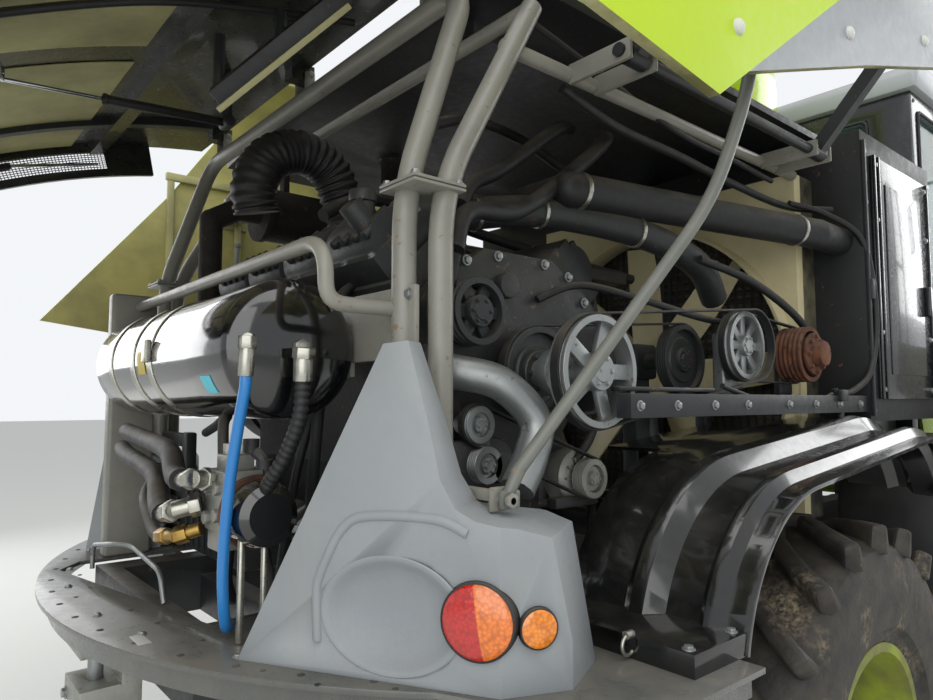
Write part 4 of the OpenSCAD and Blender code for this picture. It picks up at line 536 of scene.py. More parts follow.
def tube(name: str, points: Sequence[Point], radius: float, steps: int = 8, ribs: float = 0.0, sides: int = 5):
    """Makes a hose or bent pipe through points.

    Args:
        name: The object's name.
        points: The points that its middle passes.
        radius: Outer radius.
        steps: Points in each stretch, 1 for straight stretches.
        ribs: Depth of the corrugations as a share of the radius.
        sides: A quarter of the number of sides.

    Returns:
        The tube as a mesh.
    """
    path = smooth_path(points, steps) if steps > 1 else [Vector(q) for q in points]
    if ribs:
        even: list[Vector] = [path[0]]
        pitch = min(radius * 0.22, 0.006)
        for a, b in zip(path, path[1:]):
            length = (b - a).length
            count = max(1, round(length / pitch))
            even += [a.lerp(b, (k + 1) / count) for k in range(count)]
        path = even
    curve = bpy.data.curves.new(name, "CURVE")
    curve.dimensions = "3D"
    curve.bevel_depth = radius
    curve.bevel_resolution = sides
    curve.use_fill_caps = True
    spline = curve.splines.new("POLY")
    spline.points.add(len(path) - 1)
    for i, spot in enumerate(path):
        spline.points[i].co = (*spot, 1.0)
        spline.points[i].radius = 1.0 - (ribs if ribs and i % 4 >= 2 else 0.0)
    made = bpy.data.objects.new(name, curve)
    bpy.context.collection.objects.link(made)
    pick(made)
    bpy.ops.object.convert(target="MESH")
    made = bpy.context.active_object
    bpy.ops.object.shade_smooth_by_angle(angle=math.radians(45))
    return made


def bent(points: Sequence[Point], bend: float, steps: int = 6) -> list[Point]:
    """Rounds the corners of a run of straight stretches.

    Args:
        points: Its corners.
        bend: How far before a corner the bend starts.
        steps: Points on each bend.

    Returns:
        The points of the rounded run.
    """
    p = [Vector(q) for q in points]
    out: list[Point] = [tuple(p[0])]
    for a, b, c in zip(p, p[1:], p[2:]):
        start = b + (a - b).normalized() * min(bend, (a - b).length / 2)
        end = b + (c - b).normalized() * min(bend, (c - b).length / 2)
        for k in range(steps + 1):
            t = k / steps
            out.append(tuple(start * (1 - t) ** 2 + b * 2 * t * (1 - t) + end * t**2))
    return out + [tuple(p[-1])]


def turns(count: int) -> list[float]:
    """Returns angles spread evenly over a full turn, in radians."""
    return [k * math.tau / count for k in range(count)]


def outline(name: str, points: Sequence[Point], closed: bool = False) -> Piece:
    """Makes a line through points and leaves it selected in edit mode, to draw a surface from it.

    Args:
        name: The object's name.
        points: The points of the line.
        closed: Whether it runs back to its first point.

    Returns:
        The line.
    """
    mesh = bpy.data.meshes.new(name)
    edges = [(i, i + 1) for i in range(len(points) - 1)]
    mesh.from_pydata(points, edges + ([(len(points) - 1, 0)] if closed else []), [])
    made = bpy.data.objects.new(name, mesh)
    bpy.context.collection.objects.link(made)
    pick(made)
    bpy.ops.object.mode_set(mode="EDIT")
    bpy.ops.mesh.select_all(action="SELECT")
    return made


def band(name: str, points: Sequence[Point], across: float, thickness: float, closed: bool = False) -> Piece:
    """Draws a line of points out along Y into a band.

    Args:
        name: The object's name.
        points: The points of the line, along one edge of the band.
        across: The band's width along Y, in millimetres.
        thickness: Its thickness, in metres.
        closed: Whether it runs back to its first point.

    Returns:
        The band.
    """
    made = outline(name, points, closed)
    bpy.ops.mesh.extrude_region_move(TRANSFORM_OT_translate={"value": (0, across / 1000, 0)})
    bpy.ops.mesh.select_all(action="SELECT")
    bpy.ops.mesh.normals_make_consistent(inside=False)
    bpy.ops.object.mode_set(mode="OBJECT")
    return modify(made, "SOLIDIFY", thickness=thickness, offset=0)


def subdivided(obj: Piece, cuts: int) -> Piece:
    """Divides every edge of an object."""
    pick(obj)
    bpy.ops.object.mode_set(mode="EDIT")
    bpy.ops.mesh.select_all(action="SELECT")
    bpy.ops.mesh.subdivide(number_cuts=cuts)
    bpy.ops.object.mode_set(mode="OBJECT")
    return obj


def lathe(name: str, profile: Sequence[tuple[float, float]], centre: Point, sides: int = 64) -> Piece:
    """Turns a profile about an axis along Y.

    Args:
        name: The object's name.
        profile: Radius and place along the axis, from one end to the other.
        centre: The middle of the axis.
        sides: Steps round the axis.

    Returns:
        The turned object.
    """
    made = outline(name, [(centre[0] + r, centre[1] + y, centre[2]) for r, y in profile])
    bpy.ops.mesh.spin(steps=sides, angle=math.tau, center=centre, axis=(0, 1, 0))
    bpy.ops.mesh.select_all(action="SELECT")
    bpy.ops.mesh.remove_doubles(threshold=0.00005)
    bpy.ops.mesh.normals_make_consistent(inside=False)
    bpy.ops.object.mode_set(mode="OBJECT")
    bpy.ops.object.shade_smooth_by_angle(angle=math.radians(30))
    return made


def joined(name: str, parts: Sequence[Piece]) -> Piece:
    """Joins parts into one object."""
    pick(*parts)
    if len(parts) > 1:
        bpy.ops.object.join()
    made = bpy.context.active_object
    made.name = name
    return made


def copied(obj: Piece, move: Matrix) -> Piece:
    """Copies an object with its own mesh, moved by a matrix."""
    twin = obj.copy()
    twin.data = obj.data.copy()
    bpy.context.collection.objects.link(twin)
    twin.data.transform(move)
    if move.determinant() < 0:
        twin.data.flip_normals()
    return twin


def about(axis: str, degrees: float, centre: Point) -> Matrix:
    """Returns a turn about a point."""
    return Matrix.Translation(centre) @ Matrix.Rotation(math.radians(degrees), 4,
        axis) @ Matrix.Translation(-Vector(centre))


MIRROR = Matrix.Scale(-1, 4, (0, 1, 0))


def cad_copy(node: str, width: float, segments: int = 2, angle: float = 32.0) -> Piece:
    """Copies a CAD node's shape and rounds its edges; the copy stands for the node.

    Args:
        node: The node's name.
        width: Width of the rounding.
        segments: Faces across the rounding.
        angle: Edges sharper than this are rounded, in degrees.

    Returns:
        The copy.
    """
    source = frame["nodes"][node]
    made = source.copy()
    made.data = source.data.copy()
    made.name = node + "_dressed"
    bpy.context.collection.objects.link(made)
    made.parent = None
    made.matrix_world = Matrix.Identity(4)
    pick(made)
    if made.data.has_custom_normals:
        bpy.ops.mesh.customdata_custom_splitnormals_clear()
    bpy.ops.object.mode_set(mode="EDIT")
    bpy.ops.mesh.select_all(action="SELECT")
    bpy.ops.mesh.remove_doubles(threshold=0.00004)
    bpy.ops.mesh.dissolve_limited(angle_limit=math.radians(1.5))
    bpy.ops.object.mode_set(mode="OBJECT")
    rounded(made, width, segments, angle)
    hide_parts(node)
    return made


@dataclass
class Assembly:
    """A group of pieces that are built and dressed together."""

    body: str = "chassis"
    pieces: list[str] = field(default_factory=list)

    def keep(self, obj: Piece, tone: object, slot: str = "", body: str = "") -> Piece:
        """Gives a piece its finish and the body it rides on.

        Args:
            obj: The piece.
            tone: Its finish.
            slot: The record's material slot, the tone's usual one where none is given; not used.
            body: The body it rides on, the assembly's own where none is given.

        Returns:
            The piece.
        """
        obj.data.materials.clear()
        obj.data.materials.append(finish(tone))
        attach(obj, body or self.body)
        slot = slot or SLOTS[tone]
        self.pieces.append(obj.name)
        return obj

    def unite(self, name: str, parts: Sequence[Piece], tone: object, slot: str = "", body: str = "") -> None:
        """Joins parts into one piece and keeps it."""
        self.keep(joined(name, parts), tone, slot, body)

    def lay(self, runs: Sequence[tuple[str, Sequence[Point], float]]) -> None:
        """Lays black hoses, each given by its name, its points in millimetres and its radius in metres."""
        for name, points, radius in runs:
            self.keep(tube(name, rears(*points), radius), Tone.HOSE)

    def build(self) -> None:
        """Builds the assembly's pieces."""

    def report(self) -> None:
        """Logs what was built."""
        LOG.info("%s: %d pieces", type(self).__name__, len(self.pieces))


# ---------------------------------------------------------------- the machine's own nodes


@dataclass
class CadSkin(Assembly):
    """The nodes whose CAD shape stays, each with its finish and rounded edges where it is seen."""

    plain: dict[str, Tone] = field(default_factory=lambda: {
        "cab_glass": Tone.GLASS, "door_glass": Tone.GLASS,
        "crop_channel": Tone.GREY, "rear_axle": Tone.CHASSIS, "front_axle": Tone.CHASSIS, "tie_rod": Tone.CHASSIS,
        "knuckle_right": Tone.CASTING, "knuckle_left": Tone.CASTING, "lift_barrels": Tone.CHASSIS,
        "lift_rods": Tone.CHROME, "hoses": Tone.HOSE, "panel_arms_right": Tone.CHASSIS,
        "panel_arms_left": Tone.CHASSIS,
        "spout_turret": Tone.CHASSIS, "feed_roll_upper": Tone.STEEL, "feed_roll_lower": Tone.STEEL,
        "main_drive": Tone.DARK_CAST})
    rounding: dict[str, tuple[Tone, str, str, float]] = field(default_factory=lambda: {
        # node: finish, slot, body, width of the rounding
        "main_frame": (Tone.CHASSIS, "chassis_black", "chassis", 0.004),
        "rear_deck": (Tone.DECK, "deck_grey", "chassis", 0.003),
        "lamp_pods": (Tone.POD, "grey_plastic", "chassis", 0.010),
        "engine_block": (Tone.CASTING, "cast_engine", "chassis", 0.008),
        "valve_covers": (Tone.DARK_CAST, "cast_dark", "chassis", 0.008),
        "exhaust_system": (Tone.EXHAUST, "rusty_iron", "chassis", 0.006),
        "air_pipes": (Tone.HOSE, "black_rubber", "chassis", 0.002),
        "radiator": (Tone.CORE, "cream_paint", "chassis", 0.003),
        "cab_fittings": (Tone.PLASTIC, "cab_plastic", "chassis", 0.006),
        "radiator_housing": (Tone.HOUSING, "lime_paint", "chassis", 0.005),
        "mudguards": (Tone.GUARD, "gloss_black_plastic", "chassis", 0.011),
        "cab_shell": (Tone.CAB, "cab_black", "chassis", 0.008),
        "cab_roof": (Tone.GREY, "light_grey", "chassis", 0.024),
        "access_platform": (Tone.TUBE, "frame_grey", "chassis", 0.003),
        "fuel_tanks": (Tone.PLASTIC, "tank_plastic", "chassis", 0.030),
        "hitch_jaw": (Tone.ALLOY, "cast_light", "chassis", 0.008),
        "tailgate": (Tone.TAIL_SHELL, "lime_paint", "tail_door", 0.004),
        "side_panel_right": (Tone.PANEL_RIGHT, "lime_plastic", "panel_right", 0.006),
        "side_panel_left": (Tone.PANEL_LEFT, "lime_plastic", "panel_left", 0.006),
        "cab_door": (Tone.CAB, "cab_black", "cab_entry", 0.005),
        "intake_housing": (Tone.LIME, "lime_paint", "intake", 0.005),
        "spout_base": (Tone.LIME, "lime_paint", "spout_head", 0.004),
        "spout_boom": (Tone.LIME, "lime_paint", "spout_arm", 0.003),
        "spout_flap": (Tone.GREY, "light_grey", "spout_end", 0.003),
        "rear_rim_right": (Tone.DULL_RIM, "lime_paint", "rear_wheel_right", 0.003),
        "rear_rim_left": (Tone.DULL_RIM, "lime_paint", "rear_wheel_left", 0.003),
        "front_rim_right": (Tone.LIME, "lime_paint", "front_wheel_right", 0.004),
        "front_rim_left": (Tone.LIME, "lime_paint", "front_wheel_left", 0.004),
    })

    def build(self) -> None:
        """Gives every node its finish, and a rounded copy where its edges are seen."""
        for name, tone in self.plain.items():
            node = frame["nodes"][name]
            node.data.materials.clear()
            node.data.materials.append(finish(tone))
            pick(node)
            bpy.ops.object.shade_smooth_by_angle(angle=math.radians(35))
        for name, (tone, slot, body, width) in self.rounding.items():
            segments, angle = (3, 14.0) if name == "mudguards" else (2, 32.0)
            self.keep(cad_copy(name, width, segments, angle), tone, slot, body)


# ---------------------------------------------------------------- the machine's pieces


def rear(x: float, y: float, z: float) -> Point:
    """Returns a point from millimetres, x counted forward from the rear axle."""
    return (REAR_AXLE + x / 1000, y / 1000, z / 1000)


def rears(*points: Point) -> list[Point]:
    """Returns points from millimetres, x counted forward from the rear axle."""
    return [rear(*p) for p in points]


def box_mm(name: str, low: Point, high: Point, width: float = 0.003, segments: int = 2) -> Piece:
    """Makes a rounded box between two corners in millimetres, x counted forward from the rear axle."""
    return block(name, rear(*low), rear(*high), width, segments)


def drum_mm(name: str, a: Point, b: Point, radius: float, width: float = 0.002, sides: int = 32,
        tip: Optional[float] = None):
    """Makes a cylinder or cone between two points in millimetres, x counted forward from the rear axle."""
    return drum(name, rear(*a), rear(*b), radius, width, sides, tip)


def bolt_row(name: str, spots: Sequence[Point], along: Point, radius: float = 0.008, height: float = 0.007):
    """Makes hexagon bolt heads with washers at some spots, joined in one piece.

    Args:
        name: The piece's name.
        spots: Where each head sits.
        along: The direction that the heads point.
        radius: Half the width over a head's corners.
        height: Height of a head.

    Returns:
        The joined heads.
    """
    step = Vector(along).normalized()
    first = Vector(spots[0])
    head = joined(name, [
        drum(name + "_w", tuple(first - step * 0.001), tuple(first + step * 0.002), radius * 1.35, 0.0005, 16),
        drum(name + "_h", tuple(first), tuple(first + step * height), radius, 0.001, 6)])
    rest = [copied(head, Matrix.Translation(Vector(s) - first)) for s in spots[1:]]
    return joined(name, [head] + rest)


@dataclass
class TyreSet(Assembly):
    """The four tyres, each a turned carcass with slanted bar lugs."""

    def tyre(self, name: str, node: str, body: str, hub: Point, radius: float, rim: float, width: float, lugs: int,
            tone: Tone) -> None:
        """Builds one tyre.

        Args:
            name: The piece's name.
            node: The CAD node it stands for.
            body: The body it rides on.
            hub: The wheel's middle.
            radius: Radius over the lugs.
            rim: Radius of the rim.
            width: The tyre's width.
            lugs: Lugs on each side.
            tone: The finish.
        """
        carcass = radius - 0.046
        half = width / 2
        wall = [
            (rim, -half + 0.034), (rim + 0.012, -half + 0.026), (rim + 0.03, -half + 0.024),
            (rim + 0.045, -half + 0.008),
            ((rim + carcass) / 2, -half + 0.001), (carcass - 0.07, -half + 0.004), (carcass - 0.022, -half + 0.018),
            (carcass - 0.004, -half + 0.05), (carcass + 0.004, -half * 0.4), (carcass + 0.006, 0)]
        profile = wall + [(r, -y) for r, y in reversed(wall[:-1])]
        parts = [lathe(name, profile, hub, 72)]
        # the lugs' turn from straight across, their length and their height
        slant, length, tall = 42.0, width * 0.62, 0.082
        for side in (-1, 1):
            lug = subdivided(block(name + "_lug", (-0.024, -length / 2, 0), (0.024, length / 2, tall), 0.011), 2)
            for vertex in lug.data.vertices:
                x, y, z = vertex.co
                vertex.co.x = x * (1.35 - 0.45 * z / tall) + 0.05 * (y / length) ** 2
            turn = Matrix.Rotation(math.radians(side * slant), 4, "Z")
            place = Matrix.Translation((0, side * width * 0.232, 0)) @ turn
            lug.data.transform(place)
            for vertex in lug.data.vertices:
                x, y, z = vertex.co
                reach = carcass - 0.036 + z
                vertex.co = (reach * math.sin(x / carcass), y, reach * math.cos(x / carcass))
            half_step = 0 if side > 0 else 180 / lugs
            for i in range(lugs):
                turned = Matrix.Translation(hub) @ Matrix.Rotation(math.radians(half_step + i * 360 / lugs), 4, "Y")
                parts.append(copied(lug, turned))
            bpy.data.objects.remove(lug)
        piece = joined(name, parts)
        for vertex in piece.data.vertices:
            vertex.co.y = max(hub[1] - half, min(hub[1] + half, vertex.co.y))
            out = Vector((vertex.co.x - hub[0], vertex.co.z - hub[2]))
            if out.length > radius:
                out *= radius / out.length
                vertex.co.x, vertex.co.z = hub[0] + out.x, hub[2] + out.y
        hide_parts(node)
        self.keep(piece, tone, "tyre_rubber", body)

    def build(self) -> None:
        """Builds the four tyres."""
        for side, sign in SIDES:
            self.tyre("rear_tread_" + side, "rear_tyre_" + side, "rear_wheel_" + side,
                (REAR_AXLE, sign * 1.13, 0.627), 0.627, 0.3, 0.46, 20, Tone.TYRE)
            self.tyre("front_tread_" + side, "front_tyre_" + side, "front_wheel_" + side,
                (FRONT_AXLE, sign * 1.175, 0.894), 0.894, 0.43, 0.65, 22, Tone.CLEANER_TYRE)


@dataclass
class LampUnits(Assembly):
    """Round tail lamps and side markers with bezels and fine prisms, and the ridge and dish of each pod.

    Attributes:
        sweep: The turn of the right pod's face, in degrees.
        marker_turn: The further turn of its side marker, in degrees.
        lamp_radius: Radius of a tail lamp's bezel.
        marker_radius: Radius of a side marker's bezel.
        dish_place: The dish's middle, along the pod's face and above the deck.
        dish_hole: Radius of the hole that its bowl sits in.
        dish_stretch: How much wider and lower than round the dish is.
    """

    sweep: float = -59.9
    marker_turn: float = -53.0
    lamp_radius: float = 0.0715
    marker_radius: float = 0.0375
    dish_place: tuple[float, float] = (0.345, 0.122)
    dish_hole: float = 0.126
    dish_stretch: tuple[float, float] = (1.14, 0.85)

    def lamp(self, name: str, centre: Vector, out: Vector, radius: float, look: Lens) -> None:
        """Builds one lamp: a black bezel and a crowned lens.

        Args:
            name: The lens's name.
            centre: The middle of its base.
            out: The direction that it faces.
            radius: Radius of the bezel.
            look: The lens's finish.
        """
        rim = joined(name + "_bezel", [drum(name + "_b", tuple(centre - out * 0.03), tuple(centre + out * 0.004),
                radius, 0.002, 48)])
        self.keep(rim, Tone.PLASTIC)
        deselect()
        bpy.ops.mesh.primitive_uv_sphere_add(segments=48, ring_count=24, radius=radius * 0.95)
        dome = bpy.context.active_object
        dome.name = name
        turn = out.to_track_quat("Z", "Y").to_matrix().to_4x4()
        dome.data.transform(Matrix.Translation(centre + out * 0.002) @ turn @ Matrix.Diagonal((1, 1, 0.2, 1)))
        rounded(dome, 0.0)
        self.keep(dome, look, "lamp_red")

    def build(self) -> None:
        """Builds the lamps of both pods in place of the plain ones."""
        sweep = math.radians(self.sweep)
        along = Vector((math.cos(sweep), math.sin(sweep), 0))
        inward = Vector((-along.y, along.x, 0))
        corner = Vector(rear(-1547, -683, DECK_TOP))
        turn = math.radians(self.sweep + self.marker_turn)
        for side, sign in (("right", 1), ("left", -1)):
            flip = Matrix.Diagonal((1, sign, 1))
            lamp = flip @ (corner + along * 0.521 + inward * -0.004 + Vector((0, 0, 0.131)))
            mark = flip @ (corner + along * 0.620 + inward * 0.043 + Vector((0, 0, 0.118)) + Vector((math.cos(turn),
                    math.sin(turn), 0)) * 0.006)
            face = flip @ -inward
            side_face = flip @ Vector((math.cos(turn), math.sin(turn), 0))
            across = flip @ along
            tilt = Vector((across.x, across.y, 0.15)).normalized()
            two = Lens("lamp_glow_" + side, "#c01c14", "#e8791c", (*tilt, tilt.dot(lamp) + 0.004))
            one = Lens("marker_glow_" + side, "#ee8a1e", "#ee8a1e", (1, 0, 0, 0))
            self.lamp("tail_lamp_" + side, lamp, face, self.lamp_radius, two)
            self.lamp("side_marker_" + side, mark, side_face, self.marker_radius, one)
        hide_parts("tail_lamps")
        ridge = [corner + along * u + inward * 0.004 + Vector((0, 0, z)) for u, z in
            ((0.188, 0.06), (0.185, 0.137), (0.188, 0.176), (0.214, 0.236), (0.240, 0.278), (0.278, 0.303),
                (0.364, 0.310), (0.446, 0.306), (0.500, 0.285))]
        for side, sign in (("right", 1), ("left", -1)):
            bead = tube("pod_ridge_" + side, [tuple(Matrix.Diagonal((1, sign, 1)) @ q) for q in ridge], 0.011)
            self.keep(bead, Tone.POD)
        self.dishes(corner + along * self.dish_place[0] + Vector((0, 0, self.dish_place[1])), sweep)

    def dishes(self, middle: Vector, sweep: float) -> None:
        """Sinks the wide, soft dish beside each tail lamp: a hole in the pod and a bowl with a rolled rim in it.

        Args:
            middle: The middle of the right pod's dish.
            sweep: The turn of the right pod's face.
        """
        profile = [(0.133, 0.0004), (0.130, -0.0012), (0.124, -0.0006), (0.117, 0.004), (0.107, 0.013),
            (0.092, 0.022), (0.070, 0.029), (0.040, 0.034), (0.0005, 0.036),
            (0.0005, 0.039), (0.041, 0.037), (0.072, 0.032), (0.095, 0.025), (0.110, 0.016), (0.120, 0.007),
            (0.126, 0.003), (0.132, 0.002), (0.133, 0.0004)]
        pods = bpy.data.objects["lamp_pods_dressed"]
        for side, sign in (("right", 1), ("left", -1)):
            place = Matrix.Diagonal((1, sign, 1, 1)) @ Matrix.Translation(middle) @ Matrix.Rotation(sweep, 4,
                "Z") @ Matrix.Diagonal((self.dish_stretch[0], 1, self.dish_stretch[1], 1))
            bowl = lathe("pod_dish_" + side, profile, (0, 0, 0))
            hole = drum("pod_hole", (0, -0.03, 0), (0, 0.06, 0), self.dish_hole, 0.0, 64)
            for shape in (bowl, hole):
                shape.data.transform(place)
                if sign < 0:
                    shape.data.flip_normals()
            modify(pods, "BOOLEAN", object=hole, operation="DIFFERENCE", solver="EXACT")
            bpy.data.objects.remove(hole)
            self.keep(bowl, Tone.POD)


@dataclass
class TankBay(Assembly):
    """The black pressure tank with its bands and marks, the hoses and valves beside it and the box behind it.

    Attributes:
        axis: The tank's axis, ahead of the rear axle and above the ground, in millimetres.
        tank_radius: Its radius.
    """

    axis: tuple[float, float] = (-1425, 1715)
    tank_radius: float = 0.160

    def tank(self) -> None:
        """Turns the tank and lays its bands and plain marks on it."""
        (x, z), r = self.axis, self.tank_radius
        centre = rear(x, 0, z)
        dome = [(r * math.cos(a) if a < 1.57 else 0.0, 0.055 * math.sin(a))
            for a in [k * math.pi / 20 for k in range(11)]]
        profile = [(max(q, 0.0005), -0.645 - s) for q, s in reversed(dome)] + [(r, -0.42), (r, 0.2)]
        profile += [(max(q, 0.0005), 0.445 + s) for q, s in dome]
        body = lathe("tank_shell", profile, centre, 72)
        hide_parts("pressure_tank")
        self.keep(body, Tone.TANK)
        bands = [lathe("tank_band", [(r + 0.0005, y - 0.018), (r + 0.0035, y - 0.016), (r + 0.0035, y + 0.016),
                (r + 0.0005, y + 0.018)], centre, 72) for y in (-0.14, 0.02, 0.26)]
        bands.append(box_mm("band_lock", (x - 175, -160, 1700), (x - 160, -120, 1760)))
        self.unite("tank_bands", bands, Tone.BRIGHT)
        for name, low, high, start, sweep, tone in (("tank_mark_yellow", -0.10, -0.035, 196, 22, Tone.YELLOW),
                ("tank_mark_cyan", -0.56, -0.50, 218, 16, Tone.CYAN)):
            self.keep(self.patch(name, centre, r + 0.0012, low, high, start, sweep), tone, "tank_black")
        neck = drum_mm("tank_neck", (x, 499, z), (x, 440, z), 0.06, 0.004)
        self.unite("tank_neck", [neck, drum_mm("tank_plug", (x, -712, z), (x, -690, z), 0.02, 0.002, 6)], Tone.BRIGHT)

    def patch(self, name: str, centre: Point, radius: float, low: float, high: float, start: float, sweep: float):
        """Makes a thin mark wrapped on a cylinder along Y.

        Args:
            name: The object's name.
            centre: The middle of the cylinder's axis.
            radius: The cylinder's radius.
            low: One end of the mark along the axis.
            high: Its other end.
            start: The angle at which it starts, in degrees.
            sweep: The angle that it covers, in degrees.

        Returns:
            The mark.
        """
        a = math.radians(start)
        spot = (centre[0] + radius * math.cos(a), centre[2] + radius * math.sin(a))
        made = outline(name, [(spot[0], centre[1] + low, spot[1]), (spot[0], centre[1] + high, spot[1])])
        bpy.ops.mesh.spin(steps=8, angle=-math.radians(sweep), center=centre, axis=(0, 1, 0))
        bpy.ops.object.mode_set(mode="OBJECT")
        return modify(made, "SOLIDIFY", thickness=0.0012, offset=0)

    def valves(self) -> None:
        """Builds the valve block with its filter, plugs and fittings."""
        parts = [
            box_mm("valve_body", (-1535, -555, 1300), (-1440, -440, 1440), 0.006),
            box_mm("valve_top", (-1520, -540, 1438), (-1455, -470, 1475), 0.005),
            box_mm("valve_foot", (-1530, -520, 1255), (-1450, -450, 1302), 0.005)]
        for y, z in ((-530, 1340), (-530, 1400), (-470, 1330), (-475, 1400)):
            parts.append(drum_mm("valve_plug", (-1548, y, z), (-1530, y, z), 0.016, 0.002, 6))
        for x in (-1505, -1470):
            parts.append(drum_mm("valve_stud", (x, -505, 1470), (x, -505, 1500), 0.013, 0.002, 6))
        body = joined("valve_block", parts)
        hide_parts("hydraulic_block")
        self.keep(body, Tone.ALLOY, "bare_aluminium")
        legs = [drum_mm("valve_leg", (x, -596, 1072), (x, -596, 1306), 0.008, 0.001, 16) for x in (-1507, -1453)]
        legs.append(box_mm("valve_shelf", (-1525, -610, 1298), (-1435, -540, 1306), 0.002))
        self.unite("valve_legs", legs, Tone.BRIGHT)
        can = lathe("filter_can", [(0.0005, -0.075), (0.05, -0.072), (0.068, -0.060), (0.074, -0.04), (0.075, 0.02)],
            rear(-1462, -575, 1345), 40)
        self.keep(can, Tone.TANK)
        ring = lathe("filter_rim", [(0.075, 0.0), (0.083, 0.002), (0.085, 0.012), (0.083, 0.022), (0.06, 0.026)],
            rear(-1462, -575, 1345), 40)
        self.keep(ring, Tone.RUST)
        fittings, brass = [], []
        for a, b, r in ((rear(-1548, -500, 1420), rear(-1590, -520, 1425), 0.02),
                (rear(-1545, -450, 1360), rear(-1600, -420, 1345), 0.021),
                (rear(-1590, -520, 1425), rear(-1600, -470, 1420), 0.018),
                (rear(-1600, -420, 1345), rear(-1600, -350, 1330), 0.02)):
            fittings += [drum("fitting", a, b, r, 0.003, 20),
                drum("fitting_nut", a, tuple(Vector(a).lerp(Vector(b), 0.4)), r * 1.35, 0.002, 6)]
        for a, b, r in ((rear(-1540, -440, 1300), rear(-1585, -400, 1282), 0.016),
                (rear(-1585, -400, 1282), rear(-1590, -300, 1268), 0.015)):
            brass += [drum("brass", a, b, r, 0.003, 20),
                drum("brass_nut", tuple(Vector(a).lerp(Vector(b), 0.5)), b, r * 1.4, 0.002, 6)]
        self.unite("zinc_fittings", fittings, Tone.BRIGHT)
        self.unite("brass_fittings", brass, Tone.BRASS, "bare_aluminium")

    def hoses(self) -> None:
        """Lays the hoses of the bay between their fittings."""
        blue = tube("blue_line", rears((-1545, -690, 1655), (-1545, -686, 1620), (-1546, -656, 1536),
                (-1548, -620, 1400), (-1545, -590, 1230), (-1525, -560, 1110), (-1500, -520, 1090)), 0.0125)
        self.keep(blue, Tone.BLUE, "black_rubber")
        crimps = [drum_mm("crimp", (-1545, -694, 1712), (-1545, -689, 1650), 0.0165, 0.002, 20),
            drum_mm("crimp_nut", (-1545, -695, 1735), (-1545, -694, 1708), 0.02, 0.002, 6),
            drum_mm("crimp_elbow", (-1545, -695, 1728), (-1508, -648, 1735), 0.014, 0.002, 16),
            drum_mm("crimp_b", (-1440, -742, 1690), (-1438, -738, 1640), 0.021, 0.002, 20),
            drum_mm("crimp_c", (-1440, -745, 1712), (-1440, -742, 1688), 0.025, 0.002, 6)]
        self.unite("hose_crimps", crimps, Tone.BRIGHT)
        ribbed = tube("ribbed_line", rears((-1438, -738, 1642), (-1440, -728, 1560), (-1452, -690, 1480),
                (-1466, -655, 1430), (-1470, -630, 1400)), 0.0175, ribs=0.14)
        self.keep(ribbed, Tone.HOSE)
        runs = [
            ("line_a", [(-1600, -470, 1420), (-1590, -400, 1425), (-1560, -250, 1470), (-1530, 38, 1484),
                (-1520, 300, 1500)], 0.026),
            ("line_b", [(-1600, -350, 1330), (-1590, -280, 1345), (-1550, -100, 1400), (-1530, 242, 1429),
                (-1500, 430, 1440)], 0.026),
            ("line_c", [(-1590, -300, 1268), (-1585, -230, 1275), (-1560, -60, 1330), (-1490, 120, 1360),
                (-1420, 300, 1380)], 0.016),
            ("line_d", [(-1500, -460, 1470), (-1490, -430, 1540), (-1450, -350, 1560), (-1400, -150, 1530),
                (-1360, 50, 1500)], 0.013),
            ("line_e", [(-1470, -450, 1290), (-1470, -420, 1180), (-1440, -380, 1110), (-1400, -300, 1085)], 0.014),
            ("line_f", [(-1420, -560, 1130), (-1400, -500, 1200), (-1390, -420, 1290), (-1380, -330, 1320),
                (-1370, -200, 1260)], 0.012),
            ("line_g", [(-1350, -440, 1090), (-1340, -460, 1250), (-1320, -480, 1420), (-1290, -520, 1600),
                (-1280, -560, 1690)], 0.011)]
        self.lay(runs)

    def bracket(self) -> None:
        """Bends the wire bracket on the deck."""
        wire = tube("wire_bracket", bent(rears((-1600, 330, 1078), (-1600, 330, 1150), (-1600, 120, 1185),
                (-1560, 60, 1185), (-1545, -160, 1150), (-1545, -200, 1076)), 0.03), 0.007, 1)
        self.keep(wire, Tone.STEEL)

    def backing(self) -> None:
        """Builds the ribbed box and the open frame that close the bay towards the left side."""
        parts = [box_mm("bay_box", (-1285, -60, 1085), (-1150, 455, 1310), 0.012)]
        for k in range(9):
            parts.append(box_mm("bay_rib", (-1293, -40 + k * 56, 1100), (-1283, -26 + k * 56, 1295)))
        parts += [drum_mm("bay_lid", (-1220, 90, 1308), (-1220, 90, 1338), 0.06, 0.006),
            drum_mm("bay_union", (-1296, 300, 1240), (-1270, 300, 1240), 0.028, 0.004, 6),
            box_mm("bay_post", (-1262, 520, 1075), (-1222, 575, 1480), 0.008),
            box_mm("bay_post", (-1262, 900, 1075), (-1222, 955, 1480), 0.008),
            box_mm("bay_bar", (-1258, 560, 1425), (-1226, 915, 1475), 0.008),
            box_mm("bay_bar", (-1258, 560, 1235), (-1226, 915, 1275), 0.008),
            box_mm("bay_bar", (-1258, 560, 1080), (-1226, 915, 1135), 0.008)]
        self.unite("bay_backing", parts, Tone.DARK_CAST, "chassis_black")

    def build(self) -> None:
        """Builds the bay."""
        self.backing()
        self.tank()
        self.valves()
        self.hoses()
        self.bracket()


